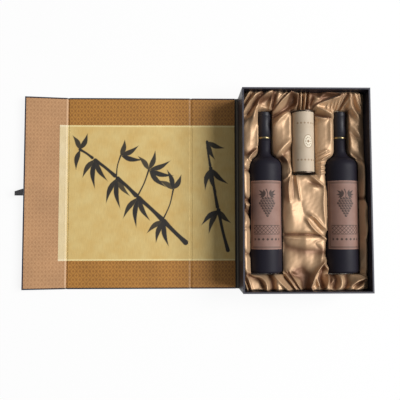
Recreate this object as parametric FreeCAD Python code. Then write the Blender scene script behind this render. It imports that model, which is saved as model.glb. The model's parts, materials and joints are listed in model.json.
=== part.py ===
import FreeCAD
import Part
import math
import os

# A gift box for two bottles of wine, shown open and lying on its back.
# A rigid board tray holds a foam cradle under a satin lining. A wrap-over cover, cased in one
# line of four boards, runs from under the tray: base, spine, lid and flap. Lengths are in
# millimetres. +Z is up, +Y runs towards the bottle necks, and the cover opens towards -X.
# The origin is on the table under the middle of the tray.

# Driving dimensions of the tray and its cover. The room is what the tray leaves round the bottles.
SIDE_ROOM = 14.5
HEAD_ROOM = 38.0
FOOT_ROOM = 34.0
RIM_HEIGHT = 86.0
BOARD = 2.0
PAPER = 0.5
TRAY_TURN_IN = 34.0
COVER_OVERHANG = 1.0
COVER_CLEARANCE = 0.3
COVER_TURN_IN = 2.0
FLAP_WIDTH = 82.0
FLAP_TILT_DEG = 8.0
HINGE_CLOTH = 8.0
HINGE_SLIT = 0.3

# Driving dimensions of the scroll sheets pasted on the lining
SCROLL = 0.3
SCROLL_HEIGHT = 264.0
SCROLL_ON_FLAP = 16.0

# Driving dimensions of the closure
MAGNET_RADIUS = 6.0
MAGNET_THICKNESS = 1.5
MAGNET_SPACING = 200.0
MAGNET_HEIGHT = 45.0
MAGNET_CLEARANCE = 0.05
TAB_WIDTH = 13.0
TAB_TIP_WIDTH = 8.0
TAB_LENGTH = 16.0
TAB_RIBBON = 0.8
TAB_LOOP_GAP = 0.6
TAB_TAIL = 18.0
TAB_CLEARANCE = 0.3

# Driving dimensions of the bedding
INSERT_CLEARANCE = 0.3
PAD = 8.0
CRADLE_HEIGHT = 39.5
SATIN = 1.5
WELL_CLEARANCE = 0.8
REST_GAP = 0.3
CROWN_RISE = 7.0
RAIL_RISE = 3.5
PILLOW_RISE = 5.0
CROWN_MARGIN = 0.4
GATHER_COUNT = 13
GATHER_RISE = 15.0
GATHER_SWING = 4.0
GATHER_SWING_STEP = 2.4
GATHER_FOLD = 5.0
GATHER_FALL = 11.0

# Driving dimensions of the bottles, measured from the base
BOTTLE_SPACING = 142.0
BOTTLE_LENGTH = 298.0
BODY_RADIUS = 31.0
SHOULDER_LENGTH = 31.0
NECK_LENGTH = 71.5
NECK_RADIUS = 12.0
BORE_RADIUS = 9.25
GLASS = 3.0
HEEL_BEVEL = 4.0
PUNT_RADIUS = 20.0
PUNT_TOP_RADIUS = 9.0
PUNT_DEPTH = 10.0
CORK_LENGTH = 38.0
CORK_CLEARANCE = 0.05
CAPSULE_LENGTH = 54.0
CAPSULE_WALL = 0.3
CAPSULE_CLEARANCE = 0.1
LABEL_FOOT = 43.5
LABEL_BELOW_SHOULDER = 27.5
LABEL_WALL = 0.25
LABEL_SWEEP_DEG = 124.0
LABEL_CLEARANCE = 0.05

# Driving dimensions of the round accessory tube
TUBE_RADIUS = 20.3
TUBE_LENGTH = 115.5
TUBE_WALL = 1.6
TUBE_AXIS_HEIGHT = 53.0
TUBE_END_RIM = 1.5
TUBE_END_WALL = 0.5
TUBE_END_LIP = 1.0
TUBE_END_CLEARANCE = 0.05

# Worked out: the bottle along its axis, and the tray that holds two of them
NECK_START = BOTTLE_LENGTH - NECK_LENGTH
BODY_END = NECK_START - SHOULDER_LENGTH
TRAY_WIDTH = BOTTLE_SPACING + 2 * (BODY_RADIUS + SIDE_ROOM)
TRAY_LENGTH = BOTTLE_LENGTH + HEAD_ROOM + FOOT_ROOM

# Worked out: heights and plan of the folding cover
PANEL = PAPER + BOARD + PAPER
BASE_TOP = PAPER + BOARD
PIVOT_HEIGHT = PAPER / 2
FOLD_ROOM = COVER_CLEARANCE + PANEL + SCROLL - PIVOT_HEIGHT
COVER_LENGTH = TRAY_LENGTH + 2 * COVER_OVERHANG
SPINE_HINGE_X = -TRAY_WIDTH / 2 - FOLD_ROOM
SPINE_PITCH = RIM_HEIGHT + FOLD_ROOM - PIVOT_HEIGHT
LID_HINGE_X = SPINE_HINGE_X - SPINE_PITCH
LID_PITCH = TRAY_WIDTH + 2 * FOLD_ROOM
FLAP_HINGE_X = LID_HINGE_X - LID_PITCH
FLAP_EDGE_X = FLAP_HINGE_X - FLAP_WIDTH

# Worked out: tray walls and bedding
WALL = PAPER + BOARD + PAPER
FLOOR_TOP = BASE_TOP + BOARD
PAD_TOP = FLOOR_TOP + PAD
CRADLE_TOP = PAD_TOP + CRADLE_HEIGHT
SATIN_TOP = CRADLE_TOP + SATIN
INSERT_HALF_X = TRAY_WIDTH / 2 - WALL - INSERT_CLEARANCE
INSERT_HALF_Y = TRAY_LENGTH / 2 - WALL - INSERT_CLEARANCE

# Worked out: where the bottles and the tube lie
BOTTLE_AXIS_HEIGHT = PAD_TOP + SATIN + REST_GAP + BODY_RADIUS
BOTTLE_BASE_Y = FOOT_ROOM - TRAY_LENGTH / 2
BOTTLE_TOP_Y = BOTTLE_BASE_Y + BOTTLE_LENGTH
CAPSULE_RADIUS = NECK_RADIUS + CAPSULE_CLEARANCE + CAPSULE_WALL
TUBE_END_RADIUS = TUBE_RADIUS + TUBE_END_CLEARANCE + TUBE_END_WALL
TUBE_END_DEPTH = TUBE_END_CLEARANCE + 2 * TUBE_END_WALL
NECK_FLOOR = BOTTLE_AXIS_HEIGHT - CAPSULE_RADIUS - REST_GAP
TUBE_FLOOR = TUBE_AXIS_HEIGHT - TUBE_END_RADIUS - REST_GAP
TUBE_TOP_Y = BOTTLE_TOP_Y
TUBE_FOOT_Y = TUBE_TOP_Y - TUBE_LENGTH
BEYOND = 1.0


# Shared shapes


def block(x, y, z):
    """A box between two limits on each axis."""
    size = [high - low for low, high in (x, y, z)]
    return Part.makeBox(*size, FreeCAD.Vector(x[0], y[0], z[0]))


def centred(half_x, half_y, z):
    """A box centred on the tray's middle, in plan."""
    return block((-half_x, half_x), (-half_y, half_y), z)


def face_of(points):
    """A flat face inside a closed run of straight edges."""
    return Part.Face(Part.makePolygon([FreeCAD.Vector(*p) for p in points + points[:1]]))


def arc(start, middle, end):
    """A circular edge through three points."""
    return Part.Arc(*[FreeCAD.Vector(*p) for p in (start, middle, end)]).toShape()


def line(start, end):
    """A straight edge."""
    return Part.LineSegment(FreeCAD.Vector(*start), FreeCAD.Vector(*end)).toShape()


def run(points):
    """Straight edges from each point to the next."""
    return [line(start, end) for start, end in zip(points[:-1], points[1:])]


def double_bend(start, end):
    """Two equal arcs, tangent to each other and to the bottle's axis at both ends."""
    (x0, y0), (x1, y1) = start, end
    dx, dy = x0 - x1, y1 - y0
    radius = (dx * dx + dy * dy) / (4 * dx)
    turn = math.asin(dy / 2 / radius) / 2
    across = radius * (1 - math.cos(turn))
    along = radius * math.sin(turn)
    middle = ((x0 + x1) / 2, (y0 + y1) / 2, 0)
    first = arc((x0, y0, 0), (x0 - across, y0 + along, 0), middle)
    second = arc(middle, (x1 + across, y1 - along, 0), (x1, y1, 0))
    return [first, second]


def revolved(edges, angle=360.0, start=0.0):
    """A solid of revolution about the Y axis, from edges drawn in the XY plane."""
    face = Part.Face(Part.Wire(edges))
    axis = FreeCAD.Vector(0, 1, 0)
    face.rotate(FreeCAD.Vector(), axis, start)
    return face.revolve(FreeCAD.Vector(), axis, angle)


def save(shape, node):
    """Writes one named piece."""
    shape.exportStep(os.path.join("parts", node + ".step"))


# The cover: four boards, each wrapped outside, lined inside and mitred along its fold lines


def mitre_waste(hinge_x, side):
    """What is cut from a panel at a fold line. side is 1 where the panel lies to the right."""
    foot = hinge_x + side * HINGE_SLIT
    rise = PANEL + SCROLL + BEYOND - PIVOT_HEIGHT
    far = hinge_x - side * BEYOND
    half = COVER_LENGTH / 2 + BEYOND
    section = [
        (foot, -half, PIVOT_HEIGHT),
        (foot + side * rise, -half, PIVOT_HEIGHT + rise),
        (far, -half, PIVOT_HEIGHT + rise),
        (far, -half, PIVOT_HEIGHT),
    ]
    return face_of(section).extrude(FreeCAD.Vector(0, 2 * half, 0))


def cloth_room(hinge_x):
    """The space that a hinge cloth takes in the layer of wrap paper."""
    half = COVER_LENGTH / 2
    across = (hinge_x - HINGE_CLOTH / 2, hinge_x + HINGE_CLOTH / 2)
    return block(across, (-half, half), (0, PAPER))


def inset(limits, amount, folds):
    """Limits across a panel, drawn in by an amount at each edge that isn't a fold line."""
    low = limits[0] if limits[0] in folds else limits[0] + amount
    high = limits[1] if limits[1] in folds else limits[1] - amount
    return (low, high)


def cover_panel(limits, folds, lined=True):
    """The board, wrap and lining of one panel, lying flat."""
    half = COVER_LENGTH / 2
    board_half = half - PAPER
    window_half = board_half - COVER_TURN_IN
    top = PANEL if lined else BASE_TOP
    wrap = block(limits, (-half, half), (0, top))
    board_x = inset(limits, PAPER, folds)
    board = block(board_x, (-board_half, board_half), (PAPER, BASE_TOP))
    lining_x = inset(limits, PAPER + COVER_TURN_IN, folds)
    lining = block(lining_x, (-window_half, window_half), (BASE_TOP, PANEL))
    wrap = wrap.cut(board)
    if lined:
        wrap = wrap.cut(lining)
    for hinge_x in folds:
        waste = mitre_waste(hinge_x, 1 if hinge_x == limits[0] else -1)
        board = board.cut(waste)
        lining = lining.cut(waste)
        wrap = wrap.cut(waste).cut(cloth_room(hinge_x))
    return board, wrap, lining


def scroll_sheet(limits, folds):
    """One part of the printed scroll, pasted on a panel's lining and mitred at the folds."""
    half = SCROLL_HEIGHT / 2
    sheet = block(limits, (-half, half), (PANEL, PANEL + SCROLL))
    for hinge_x in folds:
        sheet = sheet.cut(mitre_waste(hinge_x, 1 if hinge_x == limits[0] else -1))
    return sheet


def tilted(shape):
    """A flap piece, turned up about the flap's fold line as the flap rests."""
    turned = shape.copy()
    pivot = FreeCAD.Vector(FLAP_HINGE_X, 0, PIVOT_HEIGHT)
    turned.rotate(pivot, FreeCAD.Vector(0, 1, 0), FLAP_TILT_DEG)
    return turned


def base_panel():
    limits = (SPINE_HINGE_X, TRAY_WIDTH / 2)
    board, wrap, unused_lining = cover_panel(limits, [SPINE_HINGE_X], lined=False)
    save(board, "base_board")
    save(wrap, "base_wrap")


def spine_panel():
    limits = (LID_HINGE_X, SPINE_HINGE_X)
    board, wrap, lining = cover_panel(limits, limits)
    save(board, "spine_board")
    save(wrap, "spine_wrap")
    save(lining, "spine_lining")
    save(scroll_sheet(limits, limits), "spine_scroll_sheet")


def lid_panel():
    limits = (FLAP_HINGE_X, LID_HINGE_X)
    board, wrap, lining = cover_panel(limits, limits)
    save(board, "lid_board")
    save(wrap, "lid_wrap")
    save(lining, "lid_lining")
    save(scroll_sheet(limits, limits), "lid_scroll_sheet")


def magnet_places():
    """The two places along the box where a magnet in the flap meets one in the tray."""
    return [-MAGNET_SPACING / 2, MAGNET_SPACING / 2]


def disc(radius, depth, centre, direction):
    """A short cylinder from a centre on its first face."""
    return Part.makeCylinder(radius, depth, FreeCAD.Vector(*centre), FreeCAD.Vector(*direction))


def flap_panel():
    limits = (FLAP_EDGE_X, FLAP_HINGE_X)
    board, wrap, lining = cover_panel(limits, [FLAP_HINGE_X])
    pivot_when_shut = PIVOT_HEIGHT + SPINE_PITCH
    magnet_x = FLAP_HINGE_X - (pivot_when_shut - MAGNET_HEIGHT)
    pocket_radius = MAGNET_RADIUS + MAGNET_CLEARANCE
    pocket_depth = MAGNET_THICKNESS + MAGNET_CLEARANCE
    magnets = []
    for y in magnet_places():
        top = (magnet_x, y, BASE_TOP)
        board = board.cut(disc(pocket_radius, pocket_depth, top, (0, 0, -1)))
        magnets.append(disc(MAGNET_RADIUS, MAGNET_THICKNESS, top, (0, 0, -1)))
    tail_x = (FLAP_EDGE_X, FLAP_EDGE_X + TAB_TAIL)
    tail_y = (-TAB_WIDTH / 2, TAB_WIDTH / 2)
    tail = block(tail_x, tail_y, (BASE_TOP - TAB_RIBBON, BASE_TOP))
    save(tilted(board.cut(tail)), "flap_board")
    save(tilted(wrap.cut(tail)), "flap_wrap")
    save(tilted(lining), "flap_lining")
    save(tilted(tail), "pull_tab_tail")
    save(tilted(Part.Compound(magnets)), "flap_magnets")
    sheet = scroll_sheet((FLAP_HINGE_X - SCROLL_ON_FLAP, FLAP_HINGE_X), [FLAP_HINGE_X])
    save(tilted(sheet), "flap_scroll_sheet")


def hinge_cloths():
    """A strip of cloth under each fold line. The flap's strip bends up with the flap."""
    save(cloth_room(SPINE_HINGE_X), "spine_hinge_cloth")
    save(cloth_room(LID_HINGE_X), "lid_hinge_cloth")
    half = COVER_LENGTH / 2
    flat = block((FLAP_HINGE_X, FLAP_HINGE_X + HINGE_CLOTH / 2), (-half, half), (0, PAPER))
    raised = block((FLAP_HINGE_X - HINGE_CLOTH / 2, FLAP_HINGE_X), (-half, half), (0, PAPER))
    save(flat.fuse(tilted(raised)), "flap_hinge_cloth")


def pull_tab():
    """A loop of ribbon at the flap's free edge, narrower at its folded end."""
    half_thick = TAB_RIBBON + TAB_LOOP_GAP / 2
    root_x = FLAP_EDGE_X - TAB_CLEARANCE - half_thick
    tip_x = FLAP_EDGE_X - TAB_LENGTH
    fold_x = tip_x + half_thick
    middle_z = BASE_TOP - TAB_RIBBON / 2

    def stadium(radius):
        top, bottom = middle_z + radius, middle_z - radius
        edges = [
            line((root_x, 0, top), (fold_x, 0, top)),
            arc((fold_x, 0, top), (fold_x - radius, 0, middle_z), (fold_x, 0, bottom)),
            line((fold_x, 0, bottom), (root_x, 0, bottom)),
            arc((root_x, 0, bottom), (root_x + radius, 0, middle_z), (root_x, 0, top)),
        ]
        face = Part.Face(Part.Wire(edges))
        face.translate(FreeCAD.Vector(0, -TAB_WIDTH / 2, 0))
        return face.extrude(FreeCAD.Vector(0, TAB_WIDTH, 0))

    low = middle_z - half_thick - BEYOND
    plan = [
        (FLAP_EDGE_X, -TAB_WIDTH / 2, low),
        (tip_x, -TAB_WIDTH / 2, low),
        (tip_x, TAB_TIP_WIDTH - TAB_WIDTH / 2, low),
        (root_x, TAB_WIDTH / 2, low),
        (FLAP_EDGE_X, TAB_WIDTH / 2, low),
    ]
    outline = face_of(plan).extrude(FreeCAD.Vector(0, 0, 2 * (half_thick + BEYOND)))
    loop = stadium(half_thick).cut(stadium(TAB_LOOP_GAP / 2))
    save(tilted(loop.common(outline)), "pull_tab")


# The tray: a floor and four walls of board under one wrap of paper


def tray_boards():
    outer_x = TRAY_WIDTH / 2 - PAPER
    outer_y = TRAY_LENGTH / 2 - PAPER
    inner_x = outer_x - BOARD
    inner_y = outer_y - BOARD
    height = (BASE_TOP, RIM_HEIGHT - PAPER)
    save(centred(inner_x, inner_y, (BASE_TOP, FLOOR_TOP)), "tray_floor_board")
    save(block((-outer_x, outer_x), (inner_y, outer_y), height), "tray_head_wall")
    save(block((-outer_x, outer_x), (-outer_y, -inner_y), height), "tray_foot_wall")
    save(block((-outer_x, -inner_x), (-inner_y, inner_y), height), "tray_left_wall")
    right = block((inner_x, outer_x), (-inner_y, inner_y), height)
    magnets = []
    for y in magnet_places():
        face = (outer_x, y, MAGNET_HEIGHT)
        depth = MAGNET_THICKNESS + MAGNET_CLEARANCE
        right = right.cut(disc(MAGNET_RADIUS + MAGNET_CLEARANCE, depth, face, (-1, 0, 0)))
        magnets.append(disc(MAGNET_RADIUS, MAGNET_THICKNESS, face, (-1, 0, 0)))
    save(right, "tray_right_wall")
    save(Part.Compound(magnets), "tray_magnets")


def tray_wrap():
    """Paper up the outside of the walls, over the rim and part of the way down inside."""
    half_x, half_y = TRAY_WIDTH / 2, TRAY_LENGTH / 2
    mouth = centred(half_x - WALL, half_y - WALL, (BASE_TOP, RIM_HEIGHT + BEYOND))
    outside = centred(half_x, half_y, (BASE_TOP, RIM_HEIGHT))
    boards = centred(half_x - PAPER, half_y - PAPER, (BASE_TOP, RIM_HEIGHT - PAPER))
    inner = PAPER + BOARD
    turned_down = (RIM_HEIGHT - TRAY_TURN_IN, RIM_HEIGHT - PAPER)
    inside = centred(half_x - inner, half_y - inner, turned_down)
    save(outside.cut(boards).fuse(inside).cut(mouth).removeSplitter(), "tray_wrap")


# The bedding: a foam pad, a die-cut foam cradle and a satin lining over both


def half_well(clearance):
    """Plan of the right half of a well: straight body, the shoulder's double bend, straight neck."""
    body = BODY_RADIUS + clearance
    neck = CAPSULE_RADIUS + clearance
    foot = BOTTLE_BASE_Y - clearance
    shoulder = BOTTLE_BASE_Y + BODY_END + clearance
    collar = BOTTLE_BASE_Y + NECK_START + clearance
    head = BOTTLE_TOP_Y + clearance
    edges = run([(0, foot, 0), (body, foot, 0), (body, shoulder, 0)])
    edges += double_bend((body, shoulder), (neck, collar))
    edges += run([(neck, collar, 0), (neck, head, 0), (0, head, 0), (0, foot, 0)])
    return Part.Face(Part.Wire(edges))


def bottle_well(bottle_x, clearance, body_floor, neck_floor):
    """The hollow for one bottle: deep under the body, shallower under the neck."""
    right = half_well(clearance).extrude(FreeCAD.Vector(0, 0, RIM_HEIGHT - body_floor))
    left = right.mirror(FreeCAD.Vector(), FreeCAD.Vector(1, 0, 0))
    whole = right.fuse(left).removeSplitter()
    whole.translate(FreeCAD.Vector(bottle_x, 0, body_floor))
    collar = BOTTLE_BASE_Y + NECK_START + clearance
    reach = BODY_RADIUS + clearance + BEYOND
    neck_x = (bottle_x - reach, bottle_x + reach)
    neck_y = (collar, BOTTLE_TOP_Y + clearance + BEYOND)
    return whole.cut(block(neck_x, neck_y, (body_floor, neck_floor)))


def tube_well(clearance, floor):
    """The pocket for the accessory tube, between the bottle necks."""
    half = TUBE_END_RADIUS + clearance
    along = (TUBE_FOOT_Y - clearance, TUBE_TOP_Y + clearance)
    return block((-half, half), along, (floor, RIM_HEIGHT))


def bottle_places():
    """The two bottles' names and the X of their axes."""
    return [("left", -BOTTLE_SPACING / 2), ("right", BOTTLE_SPACING / 2)]


def wells(clearance, body_floor, drop):
    """All three hollows, with their raised floors lowered by drop."""
    hollows = [tube_well(clearance, TUBE_FLOOR - drop)]
    for unused_side, x in bottle_places():
        hollows.append(bottle_well(x, clearance, body_floor, NECK_FLOOR - drop))
    return hollows


def foam():
    pad = centred(INSERT_HALF_X, INSERT_HALF_Y, (FLOOR_TOP, PAD_TOP))
    cradle = centred(INSERT_HALF_X, INSERT_HALF_Y, (PAD_TOP, CRADLE_TOP))
    for hollow in wells(WELL_CLEARANCE + SATIN, PAD_TOP, SATIN):
        cradle = cradle.cut(hollow)
    save(pad, "insert_base_pad")
    save(cradle, "insert_cradle")


def crown(x, y, rise):
    """A swelling of the satin between two wells, round in section, run along the box."""
    middle = (x[0] + x[1]) / 2
    z = SATIN_TOP - SATIN / 2
    section = [
        arc((x[0], y[0], z), (middle, y[0], z + rise), (x[1], y[0], z)),
        line((x[1], y[0], z), (x[0], y[0], z)),
    ]
    face = Part.Face(Part.Wire(section))
    return face.extrude(FreeCAD.Vector(0, y[1] - y[0], 0))


def gathers(wall_y, well_y):
    """The satin gathered between an end wall and the wells: a row of round folds, drawn level
    and then tipped so that they fall from the wall towards the wells."""
    floor = SATIN_TOP - SATIN / 2
    pitch = 2 * INSERT_HALF_X / GATHER_COUNT
    start_y = wall_y + (wall_y - well_y) / 2
    feet = []
    for n in range(GATHER_COUNT + 1):
        swing = GATHER_SWING * math.sin(GATHER_SWING_STEP * n)
        feet.append((-INSERT_HALF_X + n * pitch, start_y, floor + GATHER_RISE + swing))
    edges = []
    for start, end in zip(feet[:-1], feet[1:]):
        crest = (start[2] + end[2]) / 2 + GATHER_FOLD
        edges.append(arc(start, ((start[0] + end[0]) / 2, start_y, crest), end))
    low = floor - GATHER_RISE
    edges += run([feet[-1], (INSERT_HALF_X, start_y, low), (-INSERT_HALF_X, start_y, low), feet[0]])
    folds = Part.Face(Part.Wire(edges)).extrude(FreeCAD.Vector(0, 2 * (well_y - wall_y), 0))
    tip = math.degrees(math.atan(GATHER_FALL / (wall_y - well_y)))
    folds.rotate(FreeCAD.Vector(0, wall_y, floor + GATHER_RISE), FreeCAD.Vector(1, 0, 0), tip)
    across = (-INSERT_HALF_X, INSERT_HALF_X)
    return folds.common(block(across, sorted((wall_y, well_y)), (floor, RIM_HEIGHT)))


def satin_lining():
    """One skin of satin over the cradle and down into the wells, with its main folds."""
    skin = centred(INSERT_HALF_X, INSERT_HALF_Y, (PAD_TOP, SATIN_TOP))
    well_half = BODY_RADIUS + WELL_CLEARANCE
    neck_half = CAPSULE_RADIUS + WELL_CLEARANCE
    tube_half = TUBE_END_RADIUS + WELL_CLEARANCE
    axis = BOTTLE_SPACING / 2
    foot = BOTTLE_BASE_Y - WELL_CLEARANCE
    head = BOTTLE_TOP_Y + WELL_CLEARANCE
    collar = BOTTLE_BASE_Y + NECK_START + WELL_CLEARANCE
    shoulder = BOTTLE_BASE_Y + BODY_END + WELL_CLEARANCE
    inner = axis - well_half - CROWN_MARGIN
    tube_foot = TUBE_FOOT_Y - WELL_CLEARANCE - CROWN_MARGIN
    rail = (axis + well_half + CROWN_MARGIN, INSERT_HALF_X)
    outer_pillow = (axis + neck_half + CROWN_MARGIN, INSERT_HALF_X)
    inner_pillow = (tube_half + CROWN_MARGIN, axis - neck_half - CROWN_MARGIN)
    swellings = [crown((-inner, inner), (foot, tube_foot), CROWN_RISE)]
    for side in (-1, 1):
        for limits, along, rise in (
            (rail, (foot, shoulder), RAIL_RISE),
            (outer_pillow, (collar, head), PILLOW_RISE),
            (inner_pillow, (collar, head), PILLOW_RISE),
        ):
            across = sorted(side * x for x in limits)
            swellings.append(crown(across, along, rise))
    swellings.append(gathers(INSERT_HALF_Y, head))
    swellings.append(gathers(-INSERT_HALF_Y, foot))
    skin = skin.fuse(swellings)
    core = centred(INSERT_HALF_X, INSERT_HALF_Y, (PAD_TOP, CRADLE_TOP))
    for hollow in wells(WELL_CLEARANCE + SATIN, PAD_TOP, SATIN):
        core = core.cut(hollow)
    skin = skin.cut(core)
    for hollow in wells(WELL_CLEARANCE, PAD_TOP + SATIN, 0.0):
        skin = skin.cut(hollow)
    save(skin.removeSplitter(), "satin_lining")


# The bottles: glass, cork, capsule and label, drawn standing on Y = 0


def bottle_glass():
    """A hollow bottle with a punt, a bevelled heel and a double-bend shoulder."""
    heel = BODY_RADIUS - HEEL_BEVEL
    inner_radius = BODY_RADIUS - GLASS
    inner_floor = PUNT_DEPTH + GLASS
    below = [
        (0, PUNT_DEPTH, 0),
        (PUNT_TOP_RADIUS, PUNT_DEPTH, 0),
        (PUNT_RADIUS, 0, 0),
        (heel, 0, 0),
        (BODY_RADIUS, HEEL_BEVEL, 0),
        (BODY_RADIUS, BODY_END, 0),
    ]
    above = [
        (NECK_RADIUS, NECK_START, 0),
        (NECK_RADIUS, BOTTLE_LENGTH, 0),
        (BORE_RADIUS, BOTTLE_LENGTH, 0),
        (BORE_RADIUS, BODY_END, 0),
        (inner_radius, BODY_END, 0),
        (inner_radius, inner_floor, 0),
        (0, inner_floor, 0),
        (0, PUNT_DEPTH, 0),
    ]
    edges = run(below)
    edges += double_bend((BODY_RADIUS, BODY_END), (NECK_RADIUS, NECK_START))
    edges += run(above)
    return revolved(edges)


def cork():
    radius = BORE_RADIUS - CORK_CLEARANCE
    foot = FreeCAD.Vector(0, BOTTLE_LENGTH - CORK_LENGTH, 0)
    return Part.makeCylinder(radius, CORK_LENGTH, foot, FreeCAD.Vector(0, 1, 0))


def capsule():
    """A thin foil cap over the mouth and the upper neck."""
    inner = NECK_RADIUS + CAPSULE_CLEARANCE
    top = BOTTLE_LENGTH + CAPSULE_CLEARANCE
    foot = BOTTLE_LENGTH - CAPSULE_LENGTH
    outline = [(0, top), (inner, top), (inner, foot), (CAPSULE_RADIUS, foot)]
    outline += [(CAPSULE_RADIUS, top + CAPSULE_WALL), (0, top + CAPSULE_WALL)]
    return revolved(run([(x, y, 0) for x, y in outline + outline[:1]]))


def ring(inner, wall, y, angle=360.0, start=0.0):
    """A thin cylindrical strip about the Y axis."""
    outer = inner + wall
    corners = [(inner, y[0], 0), (outer, y[0], 0), (outer, y[1], 0), (inner, y[1], 0)]
    return revolved(run(corners + corners[:1]), angle, start)


def label():
    """A paper label round the upper side of the body."""
    inner = BODY_RADIUS + LABEL_CLEARANCE
    upward = -90.0 - LABEL_SWEEP_DEG / 2
    along = (LABEL_FOOT, BODY_END - LABEL_BELOW_SHOULDER)
    return ring(inner, LABEL_WALL, along, LABEL_SWEEP_DEG, upward)


def bottles():
    pieces = {
        "glass": bottle_glass(),
        "cork": cork(),
        "capsule": capsule(),
        "label": label(),
    }
    for side, x in bottle_places():
        place = FreeCAD.Vector(x, BOTTLE_BASE_Y, BOTTLE_AXIS_HEIGHT)
        for name, shape in pieces.items():
            laid = shape.copy()
            laid.translate(place)
            save(laid, side + "_bottle_" + name)


# The accessory tube: a paper tube with two pressed metal ends


def tube_end():
    """A pressed metal end: a disc on the tube's edge, with a rim round it and a raised lip."""
    inner = TUBE_RADIUS + TUBE_END_CLEARANCE
    disc_top = TUBE_END_CLEARANCE + TUBE_END_WALL
    lip = TUBE_END_RADIUS - TUBE_END_LIP
    outline = [
        (0, TUBE_END_CLEARANCE),
        (inner, TUBE_END_CLEARANCE),
        (inner, -TUBE_END_RIM),
        (TUBE_END_RADIUS, -TUBE_END_RIM),
        (TUBE_END_RADIUS, TUBE_END_DEPTH),
        (lip, TUBE_END_DEPTH),
        (lip, disc_top),
        (0, disc_top),
    ]
    return revolved(run([(x, y, 0) for x, y in outline + outline[:1]]))


def accessory_tube():
    place = FreeCAD.Vector(0, TUBE_FOOT_Y + TUBE_END_DEPTH, TUBE_AXIS_HEIGHT)
    wall_length = TUBE_LENGTH - 2 * TUBE_END_DEPTH
    wall = ring(TUBE_RADIUS - TUBE_WALL, TUBE_WALL, (0, wall_length))
    top_end = tube_end()
    top_end.translate(FreeCAD.Vector(0, wall_length, 0))
    foot_end = tube_end()
    foot_end.rotate(FreeCAD.Vector(), FreeCAD.Vector(1, 0, 0), 180)
    pieces = {"wall": wall, "top_end": top_end, "foot_end": foot_end}
    for name, shape in pieces.items():
        shape.translate(place)
        save(shape, "tube_" + name)


os.makedirs("parts", exist_ok=True)
base_panel()
spine_panel()
lid_panel()
flap_panel()
hinge_cloths()
pull_tab()
tray_boards()
tray_wrap()
foam()
satin_lining()
bottles()
accessory_tube()
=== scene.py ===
import json
import math

import bmesh
import bpy
import numpy as np
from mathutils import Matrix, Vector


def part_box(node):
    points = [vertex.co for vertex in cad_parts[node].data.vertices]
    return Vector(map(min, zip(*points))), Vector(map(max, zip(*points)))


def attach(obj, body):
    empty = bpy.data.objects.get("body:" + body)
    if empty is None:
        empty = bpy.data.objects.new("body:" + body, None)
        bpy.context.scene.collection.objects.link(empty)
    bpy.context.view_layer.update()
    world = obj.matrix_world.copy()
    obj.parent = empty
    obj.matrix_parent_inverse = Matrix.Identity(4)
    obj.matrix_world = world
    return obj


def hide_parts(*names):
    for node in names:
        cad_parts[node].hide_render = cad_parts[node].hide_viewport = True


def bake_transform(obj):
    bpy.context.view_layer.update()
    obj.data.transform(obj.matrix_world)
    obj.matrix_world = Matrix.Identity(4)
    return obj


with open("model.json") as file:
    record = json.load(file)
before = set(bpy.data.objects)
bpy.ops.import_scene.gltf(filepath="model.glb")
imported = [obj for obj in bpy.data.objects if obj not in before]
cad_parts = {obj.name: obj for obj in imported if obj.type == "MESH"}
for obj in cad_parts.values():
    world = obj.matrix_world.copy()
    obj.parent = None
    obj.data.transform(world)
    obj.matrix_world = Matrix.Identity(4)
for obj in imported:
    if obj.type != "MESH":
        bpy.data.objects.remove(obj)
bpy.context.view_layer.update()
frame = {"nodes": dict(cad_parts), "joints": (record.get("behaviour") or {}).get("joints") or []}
nodes = frame["nodes"]
scene = bpy.context.scene
MM = 0.001

# Greyboard: die-cut recycled board stiffens the tray and the four panels of the cover.
# Paper is glued round all of it, so no more than a hair of a cut edge ever shows.

FLECK = 1.2


def linear(code):
    """An sRGB hex code as linear RGBA: a straight line up to 0.04045, a power of 2.4 above it."""
    srgb = np.array([int(code[i:i + 2], 16) for i in (1, 3, 5)]) / 255
    value = np.where(srgb <= 0.04045, srgb / 12.92, ((srgb + 0.055) / 1.055) ** 2.4)
    return (*value.tolist(), 1.0)


def fill(node, inputs):
    """Sets a node's inputs, by name, by number or in order. A hex code becomes a colour, and a socket,
    or the first output in use of another node, is linked."""
    for key, value in inputs.items() if isinstance(inputs, dict) else enumerate(inputs):
        if isinstance(value, bpy.types.Node):
            value = next(output for output in value.outputs if output.enabled)
        if isinstance(value, bpy.types.NodeSocket):
            node.id_data.links.new(value, node.inputs[key])
        else:
            node.inputs[key].default_value = linear(value) if isinstance(value, str) else value


def add(tree, kind, inputs, **settings):
    """Adds one node with its settings and inputs."""
    node = tree.nodes.new("ShaderNode" + kind)
    for name, value in settings.items():
        setattr(node, name, value)
    fill(node, inputs)
    return node


def start_material(name):
    """A new material: itself, its tree, its shader and a point's place on the object in metres."""
    material = bpy.data.materials.new(name)
    material.use_nodes = True
    tree = material.node_tree
    place = add(tree, "TexCoord", {}).outputs["Object"]
    return material, tree, tree.nodes["Principled BSDF"], place


def dress(material, names):
    """Gives CAD pieces their material."""
    for name in names:
        nodes[name].data.materials.clear()
        nodes[name].data.materials.append(material)


# Pulped waste paper gives it a dull grey-brown with flecks. Inputs 0, 6 and 7 of a Mix node are its
# share and its two colours.
greyboard, tree, shader, place = start_material("greyboard_recycled")
fleck = add(tree, "TexNoise", {"Vector": place, "Scale": 1 / (FLECK * MM), "Detail": 4.0})
tone = add(tree, "Mix", {0: fleck, 6: "#7d766b", 7: "#5c564e"}, data_type="RGBA")
pulp = add(tree, "Bump", {"Height": fleck, "Strength": 0.3, "Distance": 0.1 * MM})
fill(shader, {"Base Color": tone, "Roughness": 0.9, "Normal": pulp})
dress(greyboard, ["base_board", "spine_board", "lid_board", "flap_board", "tray_floor_board"])
dress(greyboard, ["tray_head_wall", "tray_foot_wall", "tray_left_wall", "tray_right_wall"])

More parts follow.
